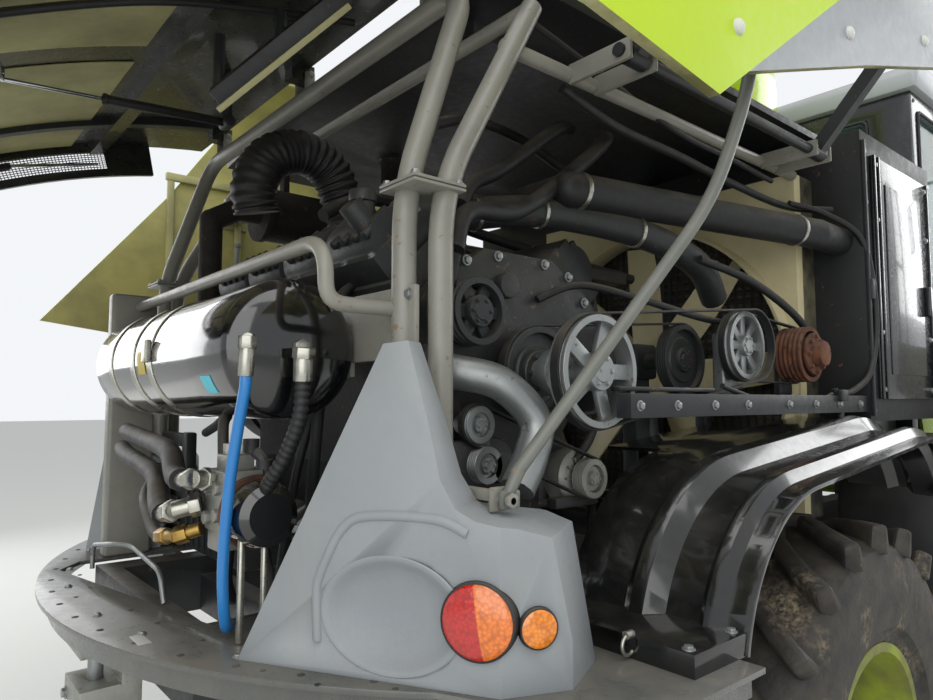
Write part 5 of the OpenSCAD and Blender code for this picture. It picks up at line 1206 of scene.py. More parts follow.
@dataclass
class EngineDress(Assembly):
    """Filler cap, bolts, charge pipes, clamps, hoses and looms on the engine."""

    crank: Point = (REAR_AXLE - 0.795, 0.0, 1.670)

    def bank_point(self, side: int, across: float, y: float, up: float) -> Point:
        """Returns a point given across and up a cylinder bank, in millimetres."""
        c = math.sqrt(0.5)
        out = (across + up) * c / 1000
        rise = (up - across) * c / 1000
        return (self.crank[0] + side * out, y / 1000, self.crank[2] + rise)

    def covers(self) -> None:
        """Puts bolts and ribs on the valve covers, with the filler cap and two red marks."""
        for side, tag in ((-1, "rear"), (1, "front")):
            up = Vector(self.bank_point(side, 0, 0, 100)) - Vector(self.bank_point(side, 0, 0, 0))
            spots = [self.bank_point(side, a, y, 500.5) for a in (-98, 98) for y in range(-660, 420, 130)]
            self.keep(bolt_row("cover_bolts_" + tag, spots, tuple(up), 0.009, 0.009), Tone.STEEL)
            ribs = []
            for i in range(4):
                for k in range(4):
                    y = -640 + i * 260 + k * 52
                    low, high = self.bank_point(side, -70, y, 545), self.bank_point(side, 70, y, 545)
                    ribs.append(drum("cover_rib", low, high, 0.012, 0.002, 12))
            self.unite("cover_ribs_" + tag, ribs, Tone.DARK_CAST)
        base = self.bank_point(-1, 20, -600, 555)
        top = Vector(base) + Vector((-0.008, 0, 0.055))
        cap = [drum("cap_neck", base, tuple(top), 0.030, 0.003, 24),
            drum("cap_top", tuple(top), tuple(top + Vector((0, 0, 0.03))), 0.036, 0.005, 16)]
        self.unite("filler_cap", cap, Tone.CASTING, "cast_dark")
        marks = [drum("red_mark", self.bank_point(-1, -20, y, 500.3), self.bank_point(-1, -20, y, 502), 0.034, 0.0005,
                12) for y in (-535, -395)]
        self.unite("red_marks", marks, Tone.RED, "lamp_red")

    def pipes(self) -> None:
        """Lays the charge pipes, coolant hoses and the corrugated intake hose."""
        big = tube("charge_pipe", rears((-1110, -600, 2080), (-900, -640, 2120), (-640, -690, 2160),
                (-300, -790, 2130), (-40, -830, 2060), (120, -800, 1960)), 0.046)
        self.keep(big, Tone.DARK_CAST)
        clamps = []
        for a, b in (((-880, -643, 2123), (-868, -645, 2125)), ((-660, -687, 2158), (-648, -689, 2159)),
                ((-320, -786, 2132), (-308, -789, 2131))):
            clamps.append(drum("clamp", rear(*a), rear(*b), 0.050))
        for a, b in (((-560, -757, 2225), (-545, -759, 2225)), ((380, -972, 2216), (395, -975, 2216))):
            clamps.append(drum("clamp", rear(*a), rear(*b), 0.0575))
        self.unite("pipe_clamps", clamps, Tone.BRIGHT)
        ribbed = tube("ribbed_duct", rears((-1230, 10, 2200), (-1245, 0, 2290), (-1190, 0, 2390), (-1080, 0, 2430),
                (-980, 0, 2390), (-930, 0, 2300), (-900, 0, 2200)), 0.074, ribs=0.09)
        self.keep(ribbed, Tone.HOSE)
        runs = [
            ("loom_a", [(-1068, -800, 1967), (-1000, -770, 2080), (-794, -750, 2127), (-479, -700, 2338),
                (-287, -650, 2480), (-200, -560, 2540)], 0.024),
            ("loom_b", [(-970, -700, 2119), (-900, -670, 2200), (-777, -650, 2270), (-482, -600, 2480),
                (-300, -500, 2560)], 0.022),
            ("loom_c", [(-1140, -720, 1500), (-1120, -760, 1650), (-1090, -780, 1790), (-1060, -790, 1960)], 0.016),
            ("loom_d", [(-620, -760, 1400), (-560, -800, 1500), (-480, -760, 1640), (-400, -700, 1780),
                (-360, -640, 1960)], 0.012),
            ("loom_e", [(-1010, -640, 2350), (-800, -560, 2440), (-500, -480, 2470), (-200, -420, 2440),
                (200, -400, 2420)], 0.016),
            ("loom_f", [(-1160, -300, 2140), (-1000, -250, 2230), (-760, -200, 2250), (-420, -220, 2200),
                (-60, -300, 2140), (240, -360, 2100)], 0.02),
            ("loom_g", [(-100, -880, 2060), (120, -930, 2010), (330, -960, 1930), (440, -980, 1850),
                (470, -1000, 1740)], 0.014),
            ("loom_h", [(-740, -760, 1880), (-600, -800, 1930), (-380, -860, 1900), (-100, -900, 1860),
                (150, -930, 1850)], 0.011),
            ("loom_i", [(-1180, -500, 1900), (-1240, -540, 1850), (-1290, -560, 1700), (-1300, -540, 1500),
                (-1280, -480, 1300)], 0.015),
            ("loom_j", [(-900, -100, 2170), (-840, 40, 2260), (-700, 120, 2290), (-420, 140, 2240), (-100, 60, 2160),
                (300, 20, 2120)], 0.03)]
        self.lay(runs)
        elbow = tube("cooler_elbow", rears((-1100, -720, 1700), (-1093, -800, 1672), (-994, -880, 1640),
                (-916, -920, 1552), (-940, -930, 1470), (-997, -940, 1394)), 0.042)
        self.keep(elbow, Tone.STEEL)

    def bits(self) -> None:
        """Adds the small castings, brackets and bolts on the engine's right end."""
        face = -752
        spots = [rear(x, face, z) for x, z in ((-1060, 1890), (-990, 1960), (-880, 1985), (-700, 1985), (-600, 1960),
                (-530, 1890), (-560, 1700), (-1030, 1700), (-1000, 1560), (-600, 1560))]
        self.keep(bolt_row("case_bolts", spots, (0, -1, 0), 0.011, 0.010), Tone.STEEL)
        parts = [
            box_mm("bracket_a", (-1080, -800, 1380), (-950, -752, 1500), 0.008),
            box_mm("bracket_b", (-700, -790, 1300), (-520, -752, 1330), 0.006),
            drum_mm("pump_body", (-930, -790, 1430), (-930, -700, 1430), 0.075, 0.008),
            drum_mm("pump_nose", (-930, -830, 1430), (-930, -785, 1430), 0.04, 0.005, 24),
            drum_mm("sensor", (-860, -780, 1905), (-860, -752, 1905), 0.035, 0.004, 24),
            box_mm("ecu", (-420, -700, 1560), (-250, -560, 1800), 0.012),
            box_mm("rack", (-520, -560, 2020), (-60, -500, 2060), 0.006),
            drum_mm("rack_leg", (-480, -530, 1800), (-480, -530, 2030), 0.015, 0.002, 16),
            box_mm("cooler_box", (-440, -420, 1560), (-60, 120, 2040), 0.02),
            drum_mm("cooler_neck", (-250, -470, 1900), (-250, -415, 1900), 0.06, 0.006)]
        self.unite("engine_bits", parts, Tone.CASTING, "cast_engine")

    def build(self) -> None:
        """Builds the engine's dress."""
        self.covers()
        self.pipes()
        self.bits()


@dataclass
class PostFrame(Assembly):
    """The bent posts, roof tubes, tank rail and lugs, with rounded bends, flanges and bolts."""

    radius: float = 0.028

    def tubes(self) -> list[Piece]:
        """Bends the tubes of the frame and returns them."""
        r = self.radius
        main = rears((-1255, -850, 1070), (-1255, -850, 2070), (-1075, -850, 2615), (-1075, 850, 2615),
            (-1255, 850, 2070), (-1255, 850, 1070))
        made = [tube("post_a", bent(main, 0.11, 8), r, 1, sides=7)]
        for s in (-1, 1):
            made.append(tube("post_b", bent(rears((-1195, s * 905, 1070), (-1195, s * 905, 2070),
                    (-903, s * 905, 2600)), 0.13, 8), r, 1, sides=7))
            made.append(drum_mm("roof_tube", (-1000, s * 900, 2470), (544, s * 900, 2470), 0.019, 0.002, 28))
        made.append(drum_mm("cross_tube", (-903, -905, 2600), (-903, 905, 2600), 0.020, 0.002, 28))
        rail = rears((-1255, 850, 1925), (-1440, 800, 1925), (-1440, -790, 1935), (-1440, -835, 1890),
            (-1440, -835, 1800), (-1256, -835, 1800))
        made.append(tube("tank_rail", bent(rail, 0.045, 6), 0.017, 1, sides=6))
        return made

    def plates(self) -> list[Piece]:
        """Cuts the flanges, brackets and lugs and returns them."""
        made = [
            box_mm("tank_plate", (-1262, -900, 1690), (-1248, -500, 1850)),
            box_mm("tank_tab", (-1264.7, -640, 1655), (-1250, -560, 1755)),
            box_mm("tank_column", (-1530, 500.3, 1070), (-1380, 560, 1970), 0.012, 3)]
        for s in (-1, 1):
            for z0, z1 in ((2061, 2069), (2071, 2079), (1070, 1084)):
                made.append(box_mm("flange", (-1297, min(s * 945, s * 810), z0), (-1153, max(s * 945, s * 810), z1)))
            foot = sorted((s * 1086, s * 1076))
            made.append(box_mm("stay_bracket", (-1210, foot[0], 1381), (-1162, foot[1], 1429), 0.004))
            arm = sorted((s * 1080, s * 905))
            made.append(box_mm("stay_arm", (-1198, arm[0], 1399), (-1174, arm[1], 1421)))
            made.append(drum_mm("stay_pin", (-1186, s * 1124, 1405), (-1186, s * 1080, 1405), 0.009, 0.002, 20))
            made.append(drum_mm("stay_head", (-1186, s * 1124, 1405), (-1186, s * 1114, 1405), 0.016, 0.002, 6))
            for x in (-700, 350):
                for side in (-1, 1):
                    edge = x + 46 if side > 0 else x - 60
                    pair = sorted((s * 1102, s * 900))
                    made.append(box_mm("arm_lug", (edge, pair[0], 2442), (edge + 14, pair[1], 2498), 0.005))
        for y in (-720, 0, 720):
            for side in (-1, 1):
                made.append(box_mm("hinge_lug", (-1092, y + side * 36 - 8, 2615), (-1058, y + side * 36 + 8, 2700),
                        0.006))
            made.append(drum_mm("hinge_pin", (-1075, y - 48, 2690), (-1075, y + 48, 2690), 0.011, 0.002, 20))
        return made

    def build(self) -> None:
        """Builds the frame in place of its plain node."""
        tubes = joined("post_tubes", self.tubes())
        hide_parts("post_frame")
        self.keep(tubes, Tone.TUBE)
        self.unite("post_plates", self.plates(), Tone.TUBE)
        heads: list[Piece] = []
        for s in (-1, 1):
            spots = [rear(x, s * y, 2079) for x, y in ((-1285, 825), (-1285, 932), (-1165, 932), (-1225, 820),
                    (-1165, 860))]
            spots += [rear(x, s * y, 1084) for x, y in ((-1285, 825), (-1285, 932), (-1165, 932), (-1165, 830))]
            heads.append(bolt_row("flange_bolts", spots, (0, 0, 1), 0.009, 0.009))
        heads.append(bolt_row("plate_bolts", [rear(-1262, y, z)
                for y, z in ((-880, 1830), (-880, 1712), (-520, 1830), (-790, 1712))], (-1, 0, 0), 0.010, 0.009))
        self.unite("post_bolts", heads, Tone.STEEL)
        for side, s in SIDES:
            path = bent(rears((-1158, s * 1100, 1452), (-825, s * 1350, 2017), (-748, s * 1395, 2261),
                    (-735, s * 1405, 2400)), 0.10, 8)
            rod = tube("stay_rod", path, 0.014, 1, sides=6)
            flat = box_mm("stay_end", (-1200, s * 1100 - 8, 1386), (-1150, s * 1100 + 8, 1424), 0.006)
            neck = drum_mm("stay_neck", (-1178, s * 1100, 1415), (-1150, s * 1104, 1464), 0.012, 0.003, 20, 0.0145)
            ball = drum_mm("stay_tip", (-735, s * 1405, 2392), (-735, s * 1405, 2419), 0.019, 0.006, 24)
            piece = joined("stay_dressed_" + side, [rod, flat, neck, ball])
            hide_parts("panel_stay_" + side)
            # The stays take the darker copy of the tube paint, which is painted shade.
            self.keep(piece, Tone.TUBE_IN_SHADE, "frame_grey", "stay_" + side)


@dataclass
class PulleyTrain(Assembly):
    """The belt drive on the engine's right end: grooved pulleys, belts, alternator, bearings and clutch.

    Its fields are the middles of the shafts, ahead of the rear axle and above the ground, in millimetres.
    """

    crank: tuple[float, float] = (-795, 1670)
    jack: tuple[float, float] = (-113, 1732)
    dished: tuple[float, float] = (2, 1776)
    rotor: tuple[float, float] = (370, 1761)
    idler: tuple[float, float] = (-1010, 1540)
    alternator: tuple[float, float] = (-583, 1379)

    def wheel(self, name: str, x: float, z: float, y0: float, width: float, radius: float, spokes: int, grooves: int,
            hub: float) -> Piece:
        """Turns one pulley.

        Args:
            name: Its name.
            x: Middle, ahead of the rear axle, in millimetres.
            z: Middle above the ground, in millimetres.
            y0: Its outer face, in millimetres.
            width: Width of its rim, in millimetres.
            radius: Outer radius, in millimetres.
            spokes: Number of spokes, none for a solid web.
            grooves: Number of belt grooves.
            hub: Radius of the hub, in millimetres.

        Returns:
            The pulley.
        """
        r, w = radius / 1000, width / 1000
        profile = [(r - 0.016, 0.0), (r - 0.001, 0.0), (r, 0.001)]
        step = w / (grooves + 0.6)
        for i in range(grooves):
            y = step * (0.3 + i)
            profile += [(r, y + step * 0.12), (r - min(step * 0.55, 0.007), y + step * 0.42),
                (r - min(step * 0.55, 0.007), y + step * 0.58), (r, y + step * 0.88)]
        profile += [(r, w - 0.001), (r - 0.001, w), (r - 0.016, w), (r - 0.018, w * 0.5), (r - 0.016, 0.0)]
        centre = rear(x, y0, z)
        h = hub / 1000
        parts = [lathe(name, profile, centre),
            lathe(name + "_hub", [(0.0005, -0.004), (h * 0.55, -0.004), (h * 0.6, -0.001), (h * 0.96, -0.001),
                (h, 0.002), (h, w - 0.002), (0.0005, w - 0.001)], centre, 32)]
        web = (w * 0.3, w * 0.62)
        if spokes:
            for i in range(spokes):
                spoke = block(name + "_spoke", (centre[0] + h * 0.8, centre[1] + web[0], centre[2] - h * 0.42),
                    (centre[0] + r - 0.012, centre[1] + web[1], centre[2] + h * 0.42), 0.004)
                spoke.data.transform(about("Y", i * 360 / spokes, centre))
                parts.append(spoke)
        else:
            parts.append(lathe(name + "_web", [(h * 0.9, web[0]), (r * 0.62, web[0] - 0.002),
                    (r * 0.66, web[0] + 0.004), (r - 0.012, web[0] + 0.004), (r - 0.012, web[1]), (h * 0.9, web[1])],
                    centre, 48))
        bolts = [(centre[0] + h * 0.72 * math.cos(a), centre[1] - 0.001, centre[2] + h * 0.72 * math.sin(a))
            for a in turns(6)]
        parts.append(bolt_row(name + "_bolts", bolts, (0, -1, 0), max(0.004, h * 0.11), 0.006))
        return joined(name, parts)

    def belt(self, name: str, p: tuple[float, float], rp: float, q: tuple[float, float], rq: float, y0: float,
            y1: float) -> Piece:
        """Lays a belt round two pulleys, each given by its middle and radius in millimetres."""
        run = math.dist(p, q)
        along = math.atan2(q[1] - p[1], q[0] - p[0])
        tilt = math.acos((rp - rq) / run)
        loop: list[Point] = []
        for centre, radius, start, sweep in ((p, rp, along + tilt, math.tau - 2 * tilt),
                (q, rq, along - tilt, 2 * tilt)):
            for k in range(25):
                a = start + sweep * k / 24
                loop.append(rear(centre[0] + (radius + 3.5) * math.cos(a), y0,
                        centre[1] + (radius + 3.5) * math.sin(a)))
        return rounded(band(name, loop, y1 - y0, 0.006, True), 0.001, 1, 50)

    def bearing(self, x: float, z: float, y0: float, y1: float, foot: float) -> list[Piece]:
        """Makes a flanged bearing block with its foot, in millimetres."""
        parts = [box_mm("bearing", (x - 45, y0, foot), (x + 45, y1, z + 45), 0.010, 3),
            drum_mm("bearing_ring", (x, y0 - 10, z), (x, y0 + 4, z), 0.046, 0.003, 36)]
        parts.append(bolt_row("bearing_bolts", [rear(x + a, y0, z + b) for a in (-34, 34) for b in (-34, 34)],
                (0, -1, 0), 0.008, 0.009))
        return parts

    def build(self) -> None:
        """Builds the train in place of its plain node."""
        light = [self.wheel("spoked_pulley", *self.crank, -1030, 50, 139, 5, 2, 48),
            drum_mm("pulley_shaft", (-795, -990, 1670), (-795, -790, 1670), 0.043, 0.003, 40),
            drum_mm("shaft_collar", (-795, -900, 1670), (-795, -862, 1670), 0.062, 0.005, 40)]
        light.append(bolt_row("collar_bolts", [rear(-795 + 52 * math.cos(a), -900, 1670 + 52 * math.sin(a))
                for a in turns(6)], (0, -1, 0), 0.006, 0.006))
        piece = joined("light_pulley", light)
        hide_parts("belt_drive")
        self.keep(piece, Tone.STEEL)
        dark = [self.wheel("ring_pulley", *self.crank, -830, 40, 125, 0, 5, 62),
            self.wheel("jack_pulley", *self.jack, -830, 40, 116, 0, 4, 40),
            self.wheel("bolt_flange", -1007, 1819, -830, 60, 85, 6, 3, 40),
            drum_mm("flange_boss", (-1007, -772, 1819), (-1007, -750, 1819), 0.04, 0.003),
            drum_mm("ring_boss", (-795, -795, 1670), (-795, -750, 1670), 0.06, 0.003),
            drum_mm("jack_shaft", (-113, -795, 1732), (-113, -560, 1732), 0.026, 0.002, 28),
            box_mm("jack_block", (-173, -680, 1672), (-53, -580, 1792), 0.012),
            box_mm("jack_stand", (-153, -660, 998), (-73, -600, 1682), 0.006),
            box_mm("jack_foot", (-153, -660, 998), (-73, -470, 1028), 0.005)]
        self.unite("dark_pulleys", dark, Tone.DARK_CAST)
        idlers = [self.wheel("idler_a", *self.idler, -830, 32, 46, 0, 4, 20),
            self.wheel("idler_b", -985, 1440, -830, 32, 46, 0, 4, 22)]
        idlers += [drum_mm("idler_post", (x, -800, z), (x, -750, z), 0.024, 0.002, 24)
            for x, z in ((-1010, 1540), (-985, 1440))]
        self.unite("idlers", idlers, Tone.STEEL)
        alt = [self.wheel("alternator_pulley", *self.alternator, -830, 40, 55, 0, 6, 20), lathe("alternator_case", [
            (0.02, 0.0), (0.05, 0.002), (0.072, 0.010), (0.080, 0.018), (0.080, 0.026), (0.082, 0.03), (0.082, 0.06),
            (0.078, 0.066), (0.078, 0.078), (0.0005, 0.08)], rear(-583, -782, 1379), 48)]
        for k in range(12):
            fin = box_mm("alternator_fin", (-583 + 32, -785, 1376), (-583 + 66, -774, 1382), 0.001)
            fin.data.transform(about("Y", k * 30, rear(-583, -782, 1379)))
            alt.append(fin)
        self.unite("alternator", alt, Tone.ALLOY, "bare_aluminium")
        beam = [self.wheel("dished_pulley", *self.dished, -985, 50, 110, 8, 2, 34),
            drum_mm("dish_shaft", (2, -945, 1776), (2, -880, 1776), 0.024, 0.002, 24)]
        beam += self.bearing(*self.dished, -925, -880, 1616.5)
        self.unite("dished_set", beam, Tone.STEEL)
        clutch = [self.wheel("clutch_rotor", *self.rotor, -1025, 90, 98, 0, 5, 60),
            drum_mm("clutch_hub", (370, -1075, 1761), (370, -1015, 1761), 0.044, 0.006, 40),
            drum_mm("clutch_disc", (370, -1040, 1761), (370, -1028, 1761), 0.074, 0.003, 48),
            drum_mm("clutch_shaft", (370, -945, 1761), (370, -905, 1761), 0.030, 0.002, 24)]
        clutch.append(bolt_row("clutch_bolts", [rear(370 + 62 * math.cos(a), -1040, 1761 + 62 * math.sin(a))
                for a in turns(8)], (0, -1, 0), 0.008, 0.010))
        self.unite("clutch", clutch, Tone.RUST)
        self.unite("clutch_bearing", self.bearing(*self.rotor, -935, -905, 1616.5), Tone.DARK_CAST)
        belts = [self.belt("belt_a", self.crank, 125, self.jack, 116, -824, -796),
            self.belt("belt_b", self.crank, 139, self.dished, 110, -1018, -992),
            self.belt("belt_c", self.dished, 110, self.rotor, 98, -965, -945),
            self.belt("belt_d", self.idler, 46, self.alternator, 55, -822, -802)]
        self.unite("belts", belts, Tone.HOSE)


@dataclass
class CoolingPack(Assembly):
    """The fan with its curved blades and the fine fins of the core."""

    def fan(self) -> None:
        """Builds the fan's hub and twisted blades."""
        centre = Vector(rear(505, -250, 1700))
        # half a blade's width and its length
        chord, reach = 0.075, 0.488
        parts = [drum("fan_hub", tuple(centre - Vector((0.035, 0, 0))), tuple(centre + Vector((0.030, 0, 0))), 0.118,
                0.008, 48),
            drum("fan_cap", tuple(centre - Vector((0.042, 0, 0))), tuple(centre - Vector((0.030, 0, 0))), 0.075,
                0.005, 48)]
        for i in range(8):
            blade = subdivided(block("fan_blade", (-0.0045, -chord, 0.0), (0.0045, chord, reach)), 4)
            for vertex in blade.data.vertices:
                x, y, z = vertex.co
                t = z / reach
                wide = 0.72 + 0.28 * math.sin(math.pi * min(1.0, 0.25 + 0.62 * t))
                twist = math.radians(40 - 18 * t)
                x += 0.012 * (1 - (y / chord) ** 2)
                y = y * wide + 0.03 * t * t
                vertex.co = (x * math.cos(twist) - y * math.sin(twist) * 0.72,
                    x * math.sin(twist) + y * math.cos(twist), 0.10 + z)
            blade.data.transform(Matrix.Translation(centre) @ Matrix.Rotation(math.radians(i * 45), 4, "X"))
            parts.append(blade)
        piece = joined("fan_dressed", parts)
        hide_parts("cooling_fan")
        self.keep(piece, Tone.CREAM, body="fan")

    def core(self) -> None:
        """Builds the core's fine fins and upright tubes behind the fan."""
        fin = box_mm("core_fins", (592, -885, 1175), (596, 385, 1177.5), 0.0)
        modify(fin, "ARRAY", count=118, use_relative_offset=False, use_constant_offset=True,
            constant_offset_displace=(0, 0, 0.011))
        bar = box_mm("core_tube", (594, -880, 1172), (597, -868, 2474), 0.0)
        modify(bar, "ARRAY", count=36, use_relative_offset=False, use_constant_offset=True,
            constant_offset_displace=(0, 0.0355, 0))
        self.unite("core_fins", [fin, bar], Tone.DARK_CAST)
        struts = []
        for k in range(3):
            strut = box_mm("guard_strut", (578, -275, 1790), (590, -225, 2330), 0.005)
            strut.data.transform(about("X", 40 + k * 120, rear(585, -250, 1700)))
            struts.append(strut)
        self.unite("fan_struts", struts, Tone.CREAM)

    def build(self) -> None:
        """Builds the pack."""
        self.fan()
        self.core()


@dataclass
class DeckTrim(Assembly):
    """Holes, bolts and the plain white plate on the deck, the mudguard's ring and the hitch's bolts.

    Attributes:
        middle: Middle of the deck's rear arc, ahead of the rear axle, in millimetres.
        hole_arc: Radius of the row of holes, in millimetres.
        bolt_arc: Radius of the row of bolts, in millimetres.
    """

    middle: float = -285
    hole_arc: float = 1462
    bolt_arc: float = 1420

    def on_arc(self, radius: float, degrees: float) -> Point:
        """Returns a point of the deck on an arc round its middle, counted from straight ahead."""
        a = math.radians(degrees)
        return rear(self.middle + radius * math.cos(a), radius * math.sin(a), DECK_TOP)

    def build(self) -> None:
        """Builds the trim."""
        # Each hole is a flat black disc on the deck: its darkness is painted shade inside the hole.
        holes = []
        for i in range(19):
            spot = Vector(self.on_arc(self.hole_arc, 180 - 52 + i * 5.8))
            holes.append(drum("deck_hole", tuple(spot - Vector((0, 0, 0.001))), tuple(spot + Vector((0, 0, 0.0007))),
                    0.008, 0.0001, 20))
        for x, y in ((-1600, -330), (-1560, -520), (-1650, 120), (-1640, 300), (-1480, -900), (-1380, -1010),
                (-1620, -180), (-1700, 40), (-1530, -770)):
            holes.append(drum_mm("deck_hole", (x, y, DECK_TOP - 1), (x, y, DECK_TOP + 0.7), 0.006, 0.0001, 18))
        self.unite("deck_hole_shade_discs", holes, Tone.HOSE, "deck_grey")
        heads = [self.on_arc(self.bolt_arc, a) for a in (132, 141, 152, 164, 173, 187, 196, 208, 219, 228)]
        self.keep(bolt_row("deck_bolts", heads, (0, 0, 1), 0.008, 0.006), Tone.STEEL)
        plate = box_mm("white_plate", (-1678, -465, DECK_TOP), (-1650, -392, DECK_TOP + 1), 0.0003)
        self.keep(plate, Tone.WHITE)
        for side, s in SIDES:
            guard = bolt_row("guard_bolts", [rear(x, s * y, 1116)
                    for x, y in ((-905, 960), (-745, 960), (-905, 1320), (-745, 1320))], (0, 0, 1), 0.010, 0.008)
            self.keep(guard, Tone.STEEL)
            ring = tube("guard_ring_" + side, [rear(-936 + 20 * math.cos(a), s * 1200, 1100 + 20 * math.sin(a))
                    for a in [k * math.tau / 20 for k in range(21)]], 0.004, 1)
            pin = drum_mm("guard_pin_" + side, (-945, s * 1200, 1120), (-922, s * 1200, 1120), 0.009, 0.002, 20)
            self.unite("guard_latch_" + side, [ring, pin], Tone.BRIGHT)
        faces = bolt_row("hitch_bolts", [rear(-1710.5, y, z) for y in (-70, 70) for z in (815, 985)], (-1, 0, 0),
            0.013, 0.010)
        self.keep(faces, Tone.STEEL)
        tow = joined("tow_pin", [drum_mm("tow_bar", (-1655, 0, 794), (-1655, 0, 996), 0.0195, 0.003, 28),
                drum_mm("tow_head", (-1655, 0, 786), (-1655, 0, 797), 0.032, 0.004, 28)])
        self.keep(tow, Tone.STEEL)
        brow = joined("hitch_ribs", [box_mm("hitch_rib", (-1700, s * 80 - 9, 1000), (-1570, s * 80 + 9, 1016), 0.006)
                for s in (-1, 1)])
        self.keep(brow, Tone.ALLOY, "cast_light")


@dataclass
class TailTrim(Assembly):
    """Gas struts, mesh windows, pale strip and stiffeners under the raised tailgate.

    Attributes:
        body: The tailgate's body.
        shell: Length of its shell's arc, in millimetres, and the angle that this covers, in degrees.
        hinge: Its hinge, ahead of the rear axle and above the ground, in millimetres.
        slope: The shell's slope at the hinge, in degrees.
    """

    body: str = "tail_door"
    shell: tuple[float, float] = (1600, 34)
    hinge: tuple[float, float] = (-1075, 2740)
    slope: float = 6

    def arc_point(self, radius_in: float, degrees: float, y: float) -> Point:
        """Returns a point under the tailgate's shell.

        Args:
            radius_in: Depth below its outer face, in millimetres.
            degrees: Angle along its arc, from the hinge.
            y: Across the machine, in millimetres.

        Returns:
            The point.
        """
        big = self.shell[0] * 180 / (math.pi * self.shell[1])
        a = math.radians(90 + degrees)
        x, z = (big - radius_in) * math.cos(a), (big - radius_in) * math.sin(a) - big
        t = math.radians(self.slope)
        ahead, above = self.hinge
        return rear(ahead + x * math.cos(t) - z * math.sin(t), y, above + x * math.sin(t) + z * math.cos(t))

    def strip(self, name: str, depth: tuple[float, float], span: tuple[float, float], across: tuple[float, float],
            steps: int = 14) -> Piece:
        """Makes a curved bar under the shell, from one angle and side to another."""
        first = [self.arc_point(depth[0], span[0] + (span[1] - span[0]) * k / steps, across[0])
            for k in range(steps + 1)]
        return rounded(band(name, first, across[1] - across[0], (depth[1] - depth[0]) / 1000), 0.002, 1, 40)

    def build(self) -> None:
        """Builds the trim."""
        liner = [self.strip("liner", (27, 31), (11.5, 31.5), (-955, -60)),
            self.strip("liner_b", (27, 31), (11.5, 31.5), (60, 955))]
        self.unite("tail_liner", liner, Tone.KHAKI, "lime_paint")
        bars = [self.strip("stiffener", (34, 62), (2, 32), (618, 662)),
            self.strip("edge_bar", (34, 66), (30, 33.2), (-950, 950), 4)]
        self.unite("tail_bars", bars, Tone.CHASSIS, "lime_paint")
        low, high = Vector(rear(-1476, -300, 2371)), Vector(rear(-1254, -600, 2612))
        yellow = drum("yellow_bar", tuple(low), tuple(high), 0.012, 0.003, 4)
        self.keep(yellow, Tone.YELLOW_BAR, "lime_paint")
        lift = Vector((-0.006, 0.004, 0.034))
        beam = [drum("hood_beam", tuple(low + lift), tuple(high + lift), 0.034, 0.004, 4)]
        for part in (0.02, 0.5, 0.94):
            foot = low.lerp(high, part) + lift
            beam.append(drum("hood_hanger", tuple(foot), (foot.x, foot.y, 2.575 + 0.09 * part), 0.016, 0.003, 6))
        beam.append(drum_mm("strut_hanger", (-1290, 130, 2508), (-1290, 130, 2690), 0.018, 0.003, 6))
        beam.append(drum_mm("strut_eye", (-1290, 100, 2520), (-1290, 160, 2520), 0.020, 0.003, 20))
        self.unite("hood_beams", beam, Tone.CHASSIS, "lime_paint")
        far, mid, near = Vector(rear(-1925, 60, 2450)), Vector(rear(-1671, 88, 2478)), Vector(rear(-1300, 129, 2519))
        self.unite("prop_rod", [drum("prop_rod", tuple(far), tuple(mid), 0.006, 0.001, 16),
                drum_mm("prop_ball", (-1925, 60, 2445), (-1925, 60, 2500), 0.010, 0.002, 16)], Tone.CHROME)
        self.unite("prop_tube", [drum("prop_tube", tuple(mid), tuple(near), 0.014, 0.003, 24),
                drum("prop_collar", tuple(mid), tuple(mid.lerp(near, 0.03)), 0.017, 0.003, 24)], Tone.HOSE)
        for side, s in SIDES:
            tip, joint, seat, eye = (self.arc_point(deep, angle, s * y) for deep, angle, y in
                ((112, 10, 930), (98, 17, 860), (92, 28.5, 745), (60, 29, 742)))
            rod = joined("gas_rod", [drum("gas_rod_a", tip, joint, 0.006, 0.001, 16)])
            tubes = [drum("gas_tube", joint, seat, 0.013, 0.003, 20), drum("gas_end", seat, eye, 0.012, 0.003, 16)]
            self.keep(rod, Tone.CHROME)
            self.unite("gas_strut_" + side, tubes, Tone.HOSE)
            y = s * 989
            mesh_parts = []
            for k in range(64):
                a = 9.2 + 16.6 * k / 63
                mesh_parts.append(drum("mesh_wire", self.arc_point(50, a, y), self.arc_point(119, a, y), 0.0016, 0.0,
                        4))
            for k in range(9):
                d = 52 + 66 * k / 8
                path = [self.arc_point(d, 9 + 17 * i / 12, y) for i in range(13)]
                mesh_parts.append(tube("mesh_long", path, 0.0016, 1, sides=1))
            self.unite("mesh_window_" + side, mesh_parts, Tone.CHASSIS, "lime_paint")
        loom = tube("tail_loom", [self.arc_point(70, 2, -460), self.arc_point(66, 8, -430),
                self.arc_point(72, 14, -445), self.arc_point(64, 20, -400), self.arc_point(70, 27, -420)], 0.010)
        self.keep(loom, Tone.HOSE)


